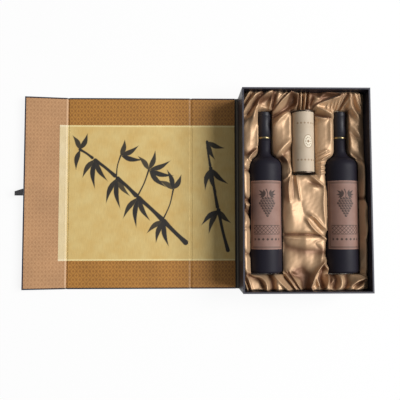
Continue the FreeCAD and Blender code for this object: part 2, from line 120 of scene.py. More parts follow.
# Cover wrap: one sheet of charcoal paper, embossed with a fine pebble grain and varnished, is
# glued over the outside of the boards and turned in 2 mm over their edges.

PEBBLE = 1.6
CLOUD = 45.0
RUB = 0.7
panel_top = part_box("lid_wrap")[1]
rim_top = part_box("tray_wrap")[1]

# Varnish gives the dark paper a low sheen, which the grain breaks up, and its folded edges are rubbed
# paler. The grain is drawn about twice as coarse as it is, to show.
wrap_paper, tree, shader, place = start_material("embossed_paper_charcoal")
axes = add(tree, "SeparateXYZ", {"Vector": place}).outputs
pebble = add(tree, "TexVoronoi", {"Vector": place, "Scale": 1 / (PEBBLE * MM)}, feature="SMOOTH_F1")
cloud = add(tree, "TexNoise", {"Vector": place, "Scale": 1 / (CLOUD * MM), "Detail": 3.0})
across = add(tree, "Math", (axes[1],), operation="ABSOLUTE")
side = add(tree, "MapRange", (across, panel_top.y - RUB * MM, panel_top.y))
rim = add(tree, "MapRange", (axes[2], rim_top.z - RUB * MM, rim_top.z))
edge = add(tree, "Math", (side, rim), operation="MAXIMUM")
rubbed = add(tree, "Math", (edge, cloud), operation="MULTIPLY")
ground = add(tree, "Mix", {0: cloud, 6: "#2b2b36", 7: "#211f28"}, data_type="RGBA")
paled = add(tree, "Mix", {0: rubbed, 6: ground, 7: "#484753"}, data_type="RGBA")
grain = add(tree, "Bump", {"Height": pebble, "Strength": 0.35, "Distance": 0.15 * MM})
fill(shader, {"Base Color": paled, "Roughness": 0.42, "Normal": grain})
dress(wrap_paper, ["base_wrap", "spine_wrap", "lid_wrap", "flap_wrap"])

# Hinge cloths: strips of starched book cloth join the panels under each fold line.
# They keep the frame's own mesh.

CLOTH_THREAD = 0.503

# Starched cotton has a dull, even weave of fine threads. At a scale of 1 a wave repeats every pi / 10.
WAVE = math.pi / 10
book_cloth, tree, shader, place = start_material("book_cloth_charcoal")
warp = add(tree, "TexWave", {"Vector": place, "Scale": WAVE / (CLOTH_THREAD * MM)}, bands_direction="X")
weft = add(tree, "TexWave", {"Vector": place, "Scale": WAVE / (CLOTH_THREAD * MM)}, bands_direction="Y")
weave = add(tree, "Math", (warp.outputs[1], weft.outputs[1]), operation="MULTIPLY")
tone = add(tree, "Mix", {0: weave, 6: "#1c1b21", 7: "#33323c"}, data_type="RGBA")
threads = add(tree, "Bump", {"Height": weave, "Strength": 0.4, "Distance": 0.1 * MM})
fill(shader, {"Base Color": tone, "Roughness": 0.8, "Normal": threads})
dress(book_cloth, ["spine_hinge_cloth", "lid_hinge_cloth", "flap_hinge_cloth"])

# Lining: a silk brocade with a small woven lattice is pasted on the inside of the spine, lid
# and flap, and pressed into the grooves of the fold lines.

CELL_WIDE = 12.8
CELL_TALL = 16.0
HALF_CELL = 0.5
LATTICE_LINE = 0.17
LATTICE_KNOT = 0.22
SPRIG = 0.27
SPRIG_EDGE = 0.1
BROCADE_THREAD = 1.3
BROCADE_FADE = 60.0
NOISE_RANGE = (0.3, 0.7)
THREAD_VALUE = (0.86, 1.12)
FADE_VALUE = (0.91, 1.09)
# The colour of the pale line along each fold: partly worn silk, partly a painted highlight.
WEAR_AND_HIGHLIGHT_SILK = "#e8d3b4"


# Silk gives the cloth a soft sheen, and its pattern is more a change of tone than of colour. Its
# threads are drawn several times as thick as they are, to show.
def brocade(name, ground_code, thread_code, knot_code):
    """Silk brocade. With u and v the distances to a diamond lattice's lines, as shares of a cell,
    lines run where either is small, knots sit where both are, and sprigs where both are large."""
    material, tree, shader, place = start_material(name)
    scale = (1 / (CELL_WIDE * MM), 1 / (CELL_TALL * MM), 1.0)
    cloth = add(tree, "Mapping", {"Vector": place, "Scale": scale})
    axes = add(tree, "SeparateXYZ", {"Vector": cloth}).outputs
    diagonals = [add(tree, "Math", (axes[0], axes[1]), operation=way) for way in ("ADD", "SUBTRACT")]
    u, v = (add(tree, "Math", (diagonal, HALF_CELL), operation="PINGPONG") for diagonal in diagonals)
    near = add(tree, "Math", (u, v), operation="MINIMUM")
    crossing = add(tree, "Math", (u, v), operation="MAXIMUM")
    line = add(tree, "MapRange", (near, LATTICE_LINE, 0.0))
    knot = add(tree, "MapRange", (crossing, LATTICE_KNOT, LATTICE_KNOT / 2))
    sprig = add(tree, "MapRange", (near, SPRIG, SPRIG + SPRIG_EDGE))
    woven = add(tree, "Math", (knot, sprig), operation="MAXIMUM")
    fibre = add(tree, "TexNoise", {"Vector": place, "Scale": 1 / (BROCADE_THREAD * MM)})
    shift = add(tree, "TexNoise", {"Vector": place, "Scale": 1 / (BROCADE_FADE * MM), "Detail": 4.0})
    ground = add(tree, "Mix", {0: line, 6: ground_code, 7: thread_code}, data_type="RGBA")
    dotted = add(tree, "Mix", {0: woven, 6: ground, 7: knot_code}, data_type="RGBA")
    # Paler along each fold: partly wear, partly a painted highlight.
    wear_and_highlight = add(tree, "Attribute", {}, attribute_name="wear_and_highlight").outputs["Fac"]
    paled = add(tree, "Mix", {0: wear_and_highlight, 6: dotted, 7: WEAR_AND_HIGHLIGHT_SILK}, data_type="RGBA")
    value = add(tree, "MapRange", (fibre, *NOISE_RANGE, *THREAD_VALUE))
    slow = add(tree, "MapRange", (shift, *NOISE_RANGE, *FADE_VALUE))
    both = add(tree, "Math", (value, slow), operation="MULTIPLY")
    shaded = add(tree, "HueSaturation", {"Value": both, "Color": paled})
    height = add(tree, "Math", (line, fibre), operation="SUBTRACT")
    threads = add(tree, "Bump", {"Height": height, "Strength": 0.35, "Distance": 0.2 * MM})
    fill(shader, {"Base Color": shaded, "Roughness": 0.55, "Normal": threads,
                  "Sheen Weight": 0.15, "Sheen Roughness": 0.4})
    return material


lid_brocade = brocade("silk_brocade_amber", "#b57e38", "#9c6a2d", "#96632a")
# The flap's brocade is a paler, pinker copy of the same cloth: painted light, for the sheen that the
# tilted flap catches.
lit_flap_brocade = brocade("silk_brocade_lit_copy", "#bd9066", "#b3865d", "#ae8159")
dress(lid_brocade, ["lid_lining", "spine_lining"])
dress(lit_flap_brocade, ["flap_lining"])

# Fold strips: where the lining runs through a fold line it lies in a groove between the boards'
# bevelled edges, as a strip across the fold.

GROOVE_ROUND = 0.5
GROOVE_LIFT = 0.08
GROOVE_DEPTH = 1.5
# A pale line along each fold, over the groove's side that faces the light: partly wear, partly a painted
# highlight.
LID_WEAR_AND_HIGHLIGHT = 0.14
FLAP_WEAR_AND_HIGHLIGHT = 0.2
PALE_LINE_PLACE = -2.2
PALE_LINE_HALF = 1.6
PALE_LINE_SOFT = 1.5
STRIP_HALF = 4.9
STRIP_COLUMNS = 31
STRIP_ROWS = 41
PIVOT_HEIGHT = 0.25
FLAP_TILT = math.radians(8.0)
MERGE_WITHIN = 0.001
hinge_x = {joint["name"]: joint["pos_m"][0] / MM for joint in frame["joints"] if "pos_m" in joint}


def grid_piece(name, x, y, z, ring=False, merge=False):
    """A mesh through a grid of points in millimetres, rows by columns, faces turned to the side from
    which rows run up and columns to the right. ring joins the last column to the first, and merge
    makes one point of those that coincide."""
    points = np.stack(np.broadcast_arrays(x, y, z), axis=-1)
    rows, columns = points.shape[:2]
    index = np.arange(rows * columns).reshape(rows, columns)
    if ring:
        index = np.concatenate([index, index[:, :1]], axis=1)
    corners = (index[:-1, :-1], index[:-1, 1:], index[1:, 1:], index[1:, :-1])
    quads = np.stack(corners, axis=-1).reshape(-1, 4)
    mesh = bpy.data.meshes.new(name)
    mesh.from_pydata((points.reshape(-1, 3) * MM).tolist(), [], quads.tolist())
    if merge:
        shell = bmesh.new()
        shell.from_mesh(mesh)
        bmesh.ops.remove_doubles(shell, verts=shell.verts, dist=MERGE_WITHIN * MM)
        shell.to_mesh(mesh)
        shell.free()
    mesh.shade_smooth()
    mesh.update()
    piece = bpy.data.objects.new(name, mesh)
    scene.collection.objects.link(piece)
    return piece


def smooth(t):
    """Eases from 0 to 1 as t goes from 0 to 1: 3 t^2 - 2 t^3."""
    t = np.clip(t, 0.0, 1.0)
    return t * t * (3 - 2 * t)


def paint(piece, name, values):
    """Stores one number for each point of a mesh, for its material to read."""
    layer = piece.data.attributes.new(name, "FLOAT", "POINT")
    layer.data.foreach_set("value", values.ravel())


def fold_strip(name, line, kind, half_length, level, depth, lift, paled, materials, slot):
    """A strip across a fold line, between the panels to its right and left. Its height over the pivot
    is sqrt(s * s + c * c) at a distance s from the line, a groove with 45 degree sides, with a level
    floor, and cut off level with the panel on each side. Its colour is paler over the groove's left
    side, which faces the light: partly wear where it bends, partly a painted highlight. Its left half
    has the last of the materials, and the rest the first."""
    joint, right, left, tilt = line
    x = hinge_x[joint]
    s = np.linspace(-STRIP_HALF, STRIP_HALF, STRIP_COLUMNS)
    groove = np.sqrt(s * s + GROOVE_ROUND ** 2) + GROOVE_LIFT + lift
    z = np.clip(groove, level - depth, level + GROOVE_LIFT)
    turn = np.where(s < 0, tilt, 0.0)
    along_x = s * np.cos(turn) + (z - PIVOT_HEIGHT) * np.sin(turn)
    along_z = PIVOT_HEIGHT - s * np.sin(turn) + (z - PIVOT_HEIGHT) * np.cos(turn)
    y = np.linspace(-half_length, half_length, STRIP_ROWS)[:, None]
    piece = grid_piece(name, x + along_x, y, along_z)
    # Paler over the groove's left side, which faces the light: partly wear, partly a painted highlight.
    wear_and_highlight = paled * smooth(PALE_LINE_SOFT - np.abs(s - PALE_LINE_PLACE) / PALE_LINE_HALF)
    paint(piece, "wear_and_highlight", np.tile(wear_and_highlight, (STRIP_ROWS, 1)))
    for material in materials:
        piece.data.materials.append(material)
    left_half = np.arange(STRIP_COLUMNS - 1) < STRIP_COLUMNS // 2
    dressed = np.tile(left_half * (len(materials) - 1), STRIP_ROWS - 1)
    piece.data.polygons.foreach_set("material_index", dressed.astype(np.int32))
    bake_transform(piece)


LID_LINE = ("lid_hinge", "spine", "lid", 0.0)
FLAP_LINE = ("flap_hinge", "lid", "flap", FLAP_TILT)
lining_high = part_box("lid_lining")[1]
lining = ("_lining", lining_high.y / MM, lining_high.z / MM, GROOVE_DEPTH, 0.0)
fold_strip("lid_fold_lining", LID_LINE, *lining, LID_WEAR_AND_HIGHLIGHT, [lid_brocade], "brocade")
fold_strip("flap_fold_lining", FLAP_LINE, *lining, FLAP_WEAR_AND_HIGHLIGHT, [lid_brocade, lit_flap_brocade], "brocade")

# Scroll: a sheet of mottled gold silk paper with a pale edge is pasted over the middle of the
# lining, from the flap across the lid and down the spine. It has brushwork in ink: a bamboo branch
# crosses the lid, and a thinner one climbs the spine.

EDGE_LINE = 3.0
EDGE_SOFT = 0.4
MOTTLE = 26.0
MOTTLE_RANGE = (0.25, 0.75)
FIBRE_LONG = 14.0
FIBRE_WIDE = 1.4
FIBRE_VALUE = (0.93, 1.06)
DRY_RANGE = (0.3, 0.62)
DRY_INK = (1.0, 0.98)
INK = "#191718"
INK_EDGE = 0.9
INK_STEP = 0.85
STROKE_STEPS = 40
TINY = 1e-9
SCROLL_LIFT = 0.12
SCROLL_DEPTH = 0.7
# The scroll's pale line along each fold: partly wear, partly a painted highlight.
SCROLL_WEAR_AND_HIGHLIGHT = 0.05
STALK_SHAPE = np.array([1.25, 0.95, 0.9, 0.95, 1.25])
LEAF_SHAPE = np.array([0.12, 0.6, 0.95, 1.0, 0.8, 0.5, 0.22, 0.0])
LEAF_HALF = 5.0
LEAF_BEND = 0.07
LEAF_ROOT = 0.04

# Each stalk has its half-width and a line of points.
STALKS = [
    (4.2, [(-219, -97), (-240, -77), (-261, -56)]), (4.0, [(-266, -51), (-289, -29), (-310, -11)]),
    (3.7, [(-316, -5), (-334, 13), (-351, 27)]), (3.2, [(-357, 33), (-377, 50), (-395, 63)]),
    (2.4, [(-401, 68), (-413, 77), (-425, 84)]), (1.5, [(-313, -8), (-300, 18), (-291, 44)]),
    (1.4, [(-263, -53), (-250, -24), (-243, 6)]), (1.3, [(-354, 30), (-352, 52), (-346, 72)]),
    (3.2, [(-137, -112), (-147, -74), (-155, -34)]), (2.9, [(-157, -28), (-164, 12), (-170, 48)]),
    (2.2, [(-171, 53), (-175, 78), (-177, 100)]),
]

# Each tuft of leaves has its root, and each leaf its heading in degrees, length and strength of ink.
LEAVES = [
    ((-262, -54), [(-78, 54, 1.0), (-108, 48, 0.99), (-142, 42, 0.96)]),
    ((-312, -9), [(-92, 62, 1.0), (-62, 54, 0.99), (-124, 52, 0.98)]),
    ((-353, 29), [(-83, 64, 1.0), (-112, 56, 0.99), (-54, 46, 0.94)]),
    ((-397, 65), [(-88, 60, 1.0), (-122, 44, 0.97), (-58, 52, 0.99)]),
    ((-425, 84), [(-100, 42, 0.98), (118, 32, 0.96), (66, 36, 0.98)]),
    ((-291, 44), [(-12, 52, 1.0), (24, 48, 0.98), (-44, 50, 0.99), (72, 42, 0.97), (128, 36, 0.94)]),
    ((-243, 6), [(62, 34, 0.98), (108, 42, 1.0), (148, 34, 0.94)]),
    ((-346, 72), [(30, 42, 0.98), (76, 34, 0.96), (-10, 46, 1.0)]),
    ((-155, -34), [(-138, 46, 1.0), (-112, 52, 0.98), (-46, 36, 0.96)]),
    ((-170, 48), [(-76, 52, 1.0), (-104, 46, 0.98), (-42, 48, 0.99)]),
    ((-177, 100), [(-66, 40, 0.98), (-20, 38, 0.96)]),
]


def box_mm(name):
    """A CAD piece's lowest and highest corner in millimetres."""
    low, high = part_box(name)
    return np.array(low) / MM, np.array(high) / MM


def curve_through(points, count):
    """Points along a smooth line through the given ones: a cubic from each point to the next, with a
    slope at each point of half the step from the one before it to the one after."""
    p = np.array(points, dtype=float)
    p = np.concatenate([2 * p[:1] - p[1:2], p, 2 * p[-1:] - p[-2:-1]])
    t = np.linspace(0, len(p) - 3 - TINY, count)
    k = t.astype(int)
    t = (t - k)[:, None]
    a, b, c, d = p[k], p[k + 1], p[k + 2], p[k + 3]
    bend = (2 * a - 5 * b + 4 * c - d) * t ** 2 + (3 * b - a - 3 * c + d) * t ** 3
    return 0.5 * (2 * b + (c - a) * t + bend)


def within(x, y, line, reach):
    """Which places lie in the box round a line, widened by a reach, and those places in pairs."""
    low, high = line.min(axis=0) - reach, line.max(axis=0) + reach
    near = (x > low[0]) & (x < high[0]) & (y > low[1]) & (y < high[1])
    return near, np.stack([x[near], y[near]], axis=-1)


def brush(x, y, points, halves, soft):
    """How much a stroke covers each place, from 0 to 1: discs with the given half-widths follow a
    smooth line, and a place within one of them is covered, with a soft edge."""
    line = curve_through(points, STROKE_STEPS)
    steps = np.linspace(0, 1, STROKE_STEPS)
    half = np.interp(steps, np.linspace(0, 1, len(halves)), halves)
    near, spot = within(x, y, line, max(halves) + soft)
    away = np.linalg.norm(spot[:, None] - line[None], axis=-1)
    cover = np.zeros_like(x)
    cover[near] = smooth((half - away).max(axis=1) / soft + 0.5)
    return cover


def bamboo(x, y):
    """The strength of ink at each place: the strongest of all the stalks and leaves there."""
    ink = np.zeros_like(x)
    for half, points in STALKS:
        ink = np.maximum(ink, brush(x, y, points, half * STALK_SHAPE, INK_EDGE))
    for root, tuft in LEAVES:
        root = np.array(root)
        for heading, length, strength in tuft:
            turn = math.radians(heading)
            run = length * np.array([math.cos(turn), math.sin(turn)])
            side = length * LEAF_BEND * np.array([math.sin(turn), -math.cos(turn)])
            line = [root + LEAF_ROOT * run, root + 0.5 * run + side, root + run]
            ink = np.maximum(ink, strength * brush(x, y, line, LEAF_HALF * LEAF_SHAPE, INK_EDGE))
    return ink


# Silk on paper looks soft and mottled. Its fibres are drawn several times as thick as they are, to show.
def silk_paper(name, ground_code, patch_code, edge_code):
    """Silk-faced paper: soft patches, long fibres along Y, and a pale line along both long edges."""
    material, tree, shader, place = start_material(name)
    axes = add(tree, "SeparateXYZ", {"Vector": place}).outputs
    mottle = add(tree, "TexNoise", {"Vector": place, "Scale": 1 / (MOTTLE * MM), "Detail": 3.0})
    scale = (1 / (FIBRE_WIDE * MM), 1 / (FIBRE_LONG * MM), 1.0)
    stretched = add(tree, "Mapping", {"Vector": place, "Scale": scale})
    fibre = add(tree, "TexNoise", {"Vector": stretched, "Scale": 1.0, "Detail": 3.0})
    across = add(tree, "Math", (axes[1],), operation="ABSOLUTE")
    low, high = (scroll_half - EDGE_LINE - EDGE_SOFT) * MM, (scroll_half - EDGE_LINE) * MM
    edge = add(tree, "MapRange", (across, low, high))
    soft = add(tree, "MapRange", (mottle, *MOTTLE_RANGE))
    ground = add(tree, "Mix", {0: soft, 6: ground_code, 7: patch_code}, data_type="RGBA")
    edged = add(tree, "Mix", {0: edge, 6: ground, 7: edge_code}, data_type="RGBA")
    value = add(tree, "MapRange", (fibre, *NOISE_RANGE, *FIBRE_VALUE))
    washed = add(tree, "HueSaturation", {"Value": value, "Color": edged})
    dry = add(tree, "MapRange", (fibre, *DRY_RANGE, *DRY_INK))
    ink = add(tree, "Attribute", {}, attribute_name="ink").outputs["Fac"]
    wet = add(tree, "Math", (ink, dry), operation="MULTIPLY")
    # Paler along each fold: partly wear, partly a painted highlight.
    wear_and_highlight = add(tree, "Attribute", {}, attribute_name="wear_and_highlight").outputs["Fac"]
    paled = add(tree, "Mix", {0: wear_and_highlight, 6: washed, 7: edge_code}, data_type="RGBA")
    shaded = add(tree, "Mix", {0: wet, 6: paled, 7: INK}, data_type="RGBA")
    fibres = add(tree, "Bump", {"Height": fibre, "Strength": 0.25, "Distance": 0.1 * MM})
    fill(shader, {"Base Color": shaded, "Roughness": 0.6, "Normal": fibres,
                  "Sheen Weight": 0.1, "Sheen Roughness": 0.4})
    return material


def painted_sheet(name, node, body):
    """A pasted sheet with brushwork: a level grid, turned down at its edges to the lining."""
    low, high = box_mm(node)
    x = np.linspace(low[0], high[0], int((high[0] - low[0]) / INK_STEP))
    y = np.linspace(low[1], high[1], int((high[1] - low[1]) / INK_STEP))
    x, y = np.meshgrid(np.pad(x, 1, mode="edge"), np.pad(y, 1, mode="edge"))
    z = np.full_like(x, low[2])
    z[1:-1, 1:-1] = high[2]
    piece = grid_piece(name, x, y, z)
    paint(piece, "ink", bamboo(x, y))
    piece.data.materials.append(lid_silk)
    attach(piece, body)
    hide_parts(node)


scroll_high = box_mm("lid_scroll_sheet")[1]
scroll_half = scroll_high[1]
lid_silk = silk_paper("silk_paper_gold", "#d9bf7e", "#d1ae67", "#e9d497")
# The flap's part of the sheet is a paler, creamier copy of the same paper: painted light, for the sheen
# that the tilted flap catches.
lit_flap_silk = silk_paper("silk_paper_gold_lit_copy", "#dfcba2", "#d9c394", "#e7d7b2")
painted_sheet("lid_scroll", "lid_scroll_sheet", "lid")
painted_sheet("spine_scroll", "spine_scroll_sheet", "spine")
dress(lit_flap_silk, ["flap_scroll_sheet"])
scroll = ("_scroll_sheet", scroll_half, scroll_high[2], SCROLL_DEPTH, SCROLL_LIFT, SCROLL_WEAR_AND_HIGHLIGHT)
fold_strip("lid_fold_scroll", LID_LINE, *scroll, [lid_silk], "scroll_silk")
fold_strip("flap_fold_scroll", FLAP_LINE, *scroll, [lid_silk, lit_flap_silk], "scroll_silk")

# Magnets and pull tab: plated discs are let into the flap and the tray's right wall under the
# paper, and a loop of black grosgrain ribbon is glued into the flap's edge.

PLATING = 2.0
RIB = 0.691

# Nickel is bright, with a slight haze.
nickel, tree, shader, place = start_material("nickel_plate")
haze = add(tree, "TexNoise", {"Vector": place, "Scale": 1 / (PLATING * MM)})
dull = add(tree, "MapRange", {"Value": haze, "To Min": 0.2, "To Max": 0.35})
fill(shader, {"Base Color": "#c8c6c2", "Metallic": 1.0, "Roughness": dull})
dress(nickel, ["flap_magnets", "tray_magnets"])

# Grosgrain is a dull black, and its cross ribs catch the light in fine lines.
grosgrain, tree, shader, place = start_material("grosgrain_black")
ribs = add(tree, "TexWave", {"Vector": place, "Scale": WAVE / (RIB * MM)}, bands_direction="X").outputs[1]
tone = add(tree, "Mix", {0: ribs, 6: "#0d0c10", 7: "#1d1b21"}, data_type="RGBA")
ribbed = add(tree, "Bump", {"Height": ribs, "Strength": 0.6, "Distance": 0.2 * MM})
fill(shader, {"Base Color": tone, "Roughness": 0.6, "Normal": ribbed, "Sheen Weight": 0.2})
dress(grosgrain, ["pull_tab", "pull_tab_tail"])

# Tray wrap: the same charcoal paper goes up the outside of the tray, over the rim and down inside.
# Its edges are folded over board, so they are slightly round.

FOLD_ROUND = 0.45
PAPER = 0.5
WALL = 3.0
TURN_IN = 34.0
wrap_low, wrap_high = box_mm("tray_wrap")
foot, top = wrap_low[2], wrap_high[2]

# Each corner of the paper's section: its way outward, and its height.
section = np.array([
    (0.0, foot), (0.0, top), (-WALL, top), (-WALL, top - TURN_IN),
    (PAPER - WALL, top - TURN_IN), (PAPER - WALL, top - PAPER), (-PAPER, top - PAPER), (-PAPER, foot),
    (0.0, foot),
])
x = np.array([1, 1, -1, -1]) * (wrap_high[0] + section[:, :1])
y = np.array([-1, 1, 1, -1]) * (wrap_high[1] + section[:, :1])
tray_paper = grid_piece("tray_paper", x, y, section[:, 1:], ring=True, merge=True)
tray_paper.data.shade_flat()
rounding = tray_paper.modifiers.new("folded_edges", "BEVEL")
rounding.width = FOLD_ROUND * MM
rounding.segments = 2
rounding.limit_method = "ANGLE"
rounding.harden_normals = True
tray_paper.data.materials.append(wrap_paper)
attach(tray_paper, "tray")
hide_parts("tray_wrap")

# Foam: a pad and a die-cut cradle of white polyethylene foam carry the bottles under the satin.
# The satin covers both, so only the frame's own mesh is needed.

FOAM_CELL = 1.5

# The foam is a dull white, pitted by its cells.
foam, tree, shader, place = start_material("polyethylene_foam")
cells = add(tree, "TexVoronoi", {"Vector": place, "Scale": 1 / (FOAM_CELL * MM)})
tone = add(tree, "Mix", {0: cells, 6: "#e8e4da", 7: "#cfc9bb"}, data_type="RGBA")
bubbles = add(tree, "Bump", {"Height": cells, "Strength": 0.4, "Distance": 0.3 * MM})
fill(shader, {"Base Color": tone, "Roughness": 0.85, "Normal": bubbles})
dress(foam, ["insert_base_pad", "insert_cradle"])

# Satin lining: one piece of gold polyester satin is laid over the cradle, pressed into the wells
# and gathered by hand at both ends, which leaves sharp slanting folds.

SHOULDER_LENGTH = 31.0
NECK_LENGTH = 71.5
WELL_GAP = 1.5
WELL_END = 0.8
WALL_GAP = 0.4
WALL_PUFF = 1.5
WALL_SHARE = 0.25
SATIN_LOW = 53.5
SATIN_OVER_FOAM = 0.6
SATIN_ROWS = 345
SATIN_COLUMNS = (28, 56, 34, 48, 34, 56, 28)
FOAM_SOFT = 0.8
PUFF = 9.5
PUFF_REACH = 6.0
END_RISE = 5.0
END_REACH = 30.0
HUG = 3.2
HUG_FROM = 24.0
HUG_EASE = 6.0
HUG_REACH = 4.0
RIPPLE = 0.4
CRINKLE = 0.12
CRINKLE_SLANT = 0.8
CRINKLE_CROSS = 0.5
CRINKLE_LENGTH = 4.3
CREST = 0.5
FOLD_GAIN = 1.5
FOLD_STEPS = 40
FOLD_REACH = 7
JOIN = 2.5
CREASE_FROM = 1.5
CREASE_DEEP = 9.0
CREASE_MOST = 11.0
CREASE_SHADE = 0.8
HEAD_TUCK = 5.0
FOOT_TUCK = 3.0
TUCK_DEEP = 7.0
FLOAT_THREAD = 1.2
FLOAT_RUN = 9.0

glass_low, glass_high = box_mm("right_bottle_glass")
capsule_low, capsule_high = box_mm("right_bottle_capsule")
end_low, end_high = box_mm("tube_top_end")
tube_foot = box_mm("tube_foot_end")[0][1]
cradle_low, cradle_high = box_mm("insert_cradle")
BODY_RADIUS = (glass_high[0] - glass_low[0]) / 2
NECK_RADIUS = (capsule_high[0] - capsule_low[0]) / 2
TUBE_RADIUS = (end_high[0] - end_low[0]) / 2
BOTTLE_X = (glass_high[0] + glass_low[0]) / 2
BOTTLE_Z = (glass_high[2] + glass_low[2]) / 2
TUBE_Z = (end_high[2] + end_low[2]) / 2
BOTTLE_FOOT, BOTTLE_HEAD = glass_low[1], capsule_high[1]
NECK_Y = glass_high[1] - NECK_LENGTH
SHOULDER_Y = NECK_Y - SHOULDER_LENGTH

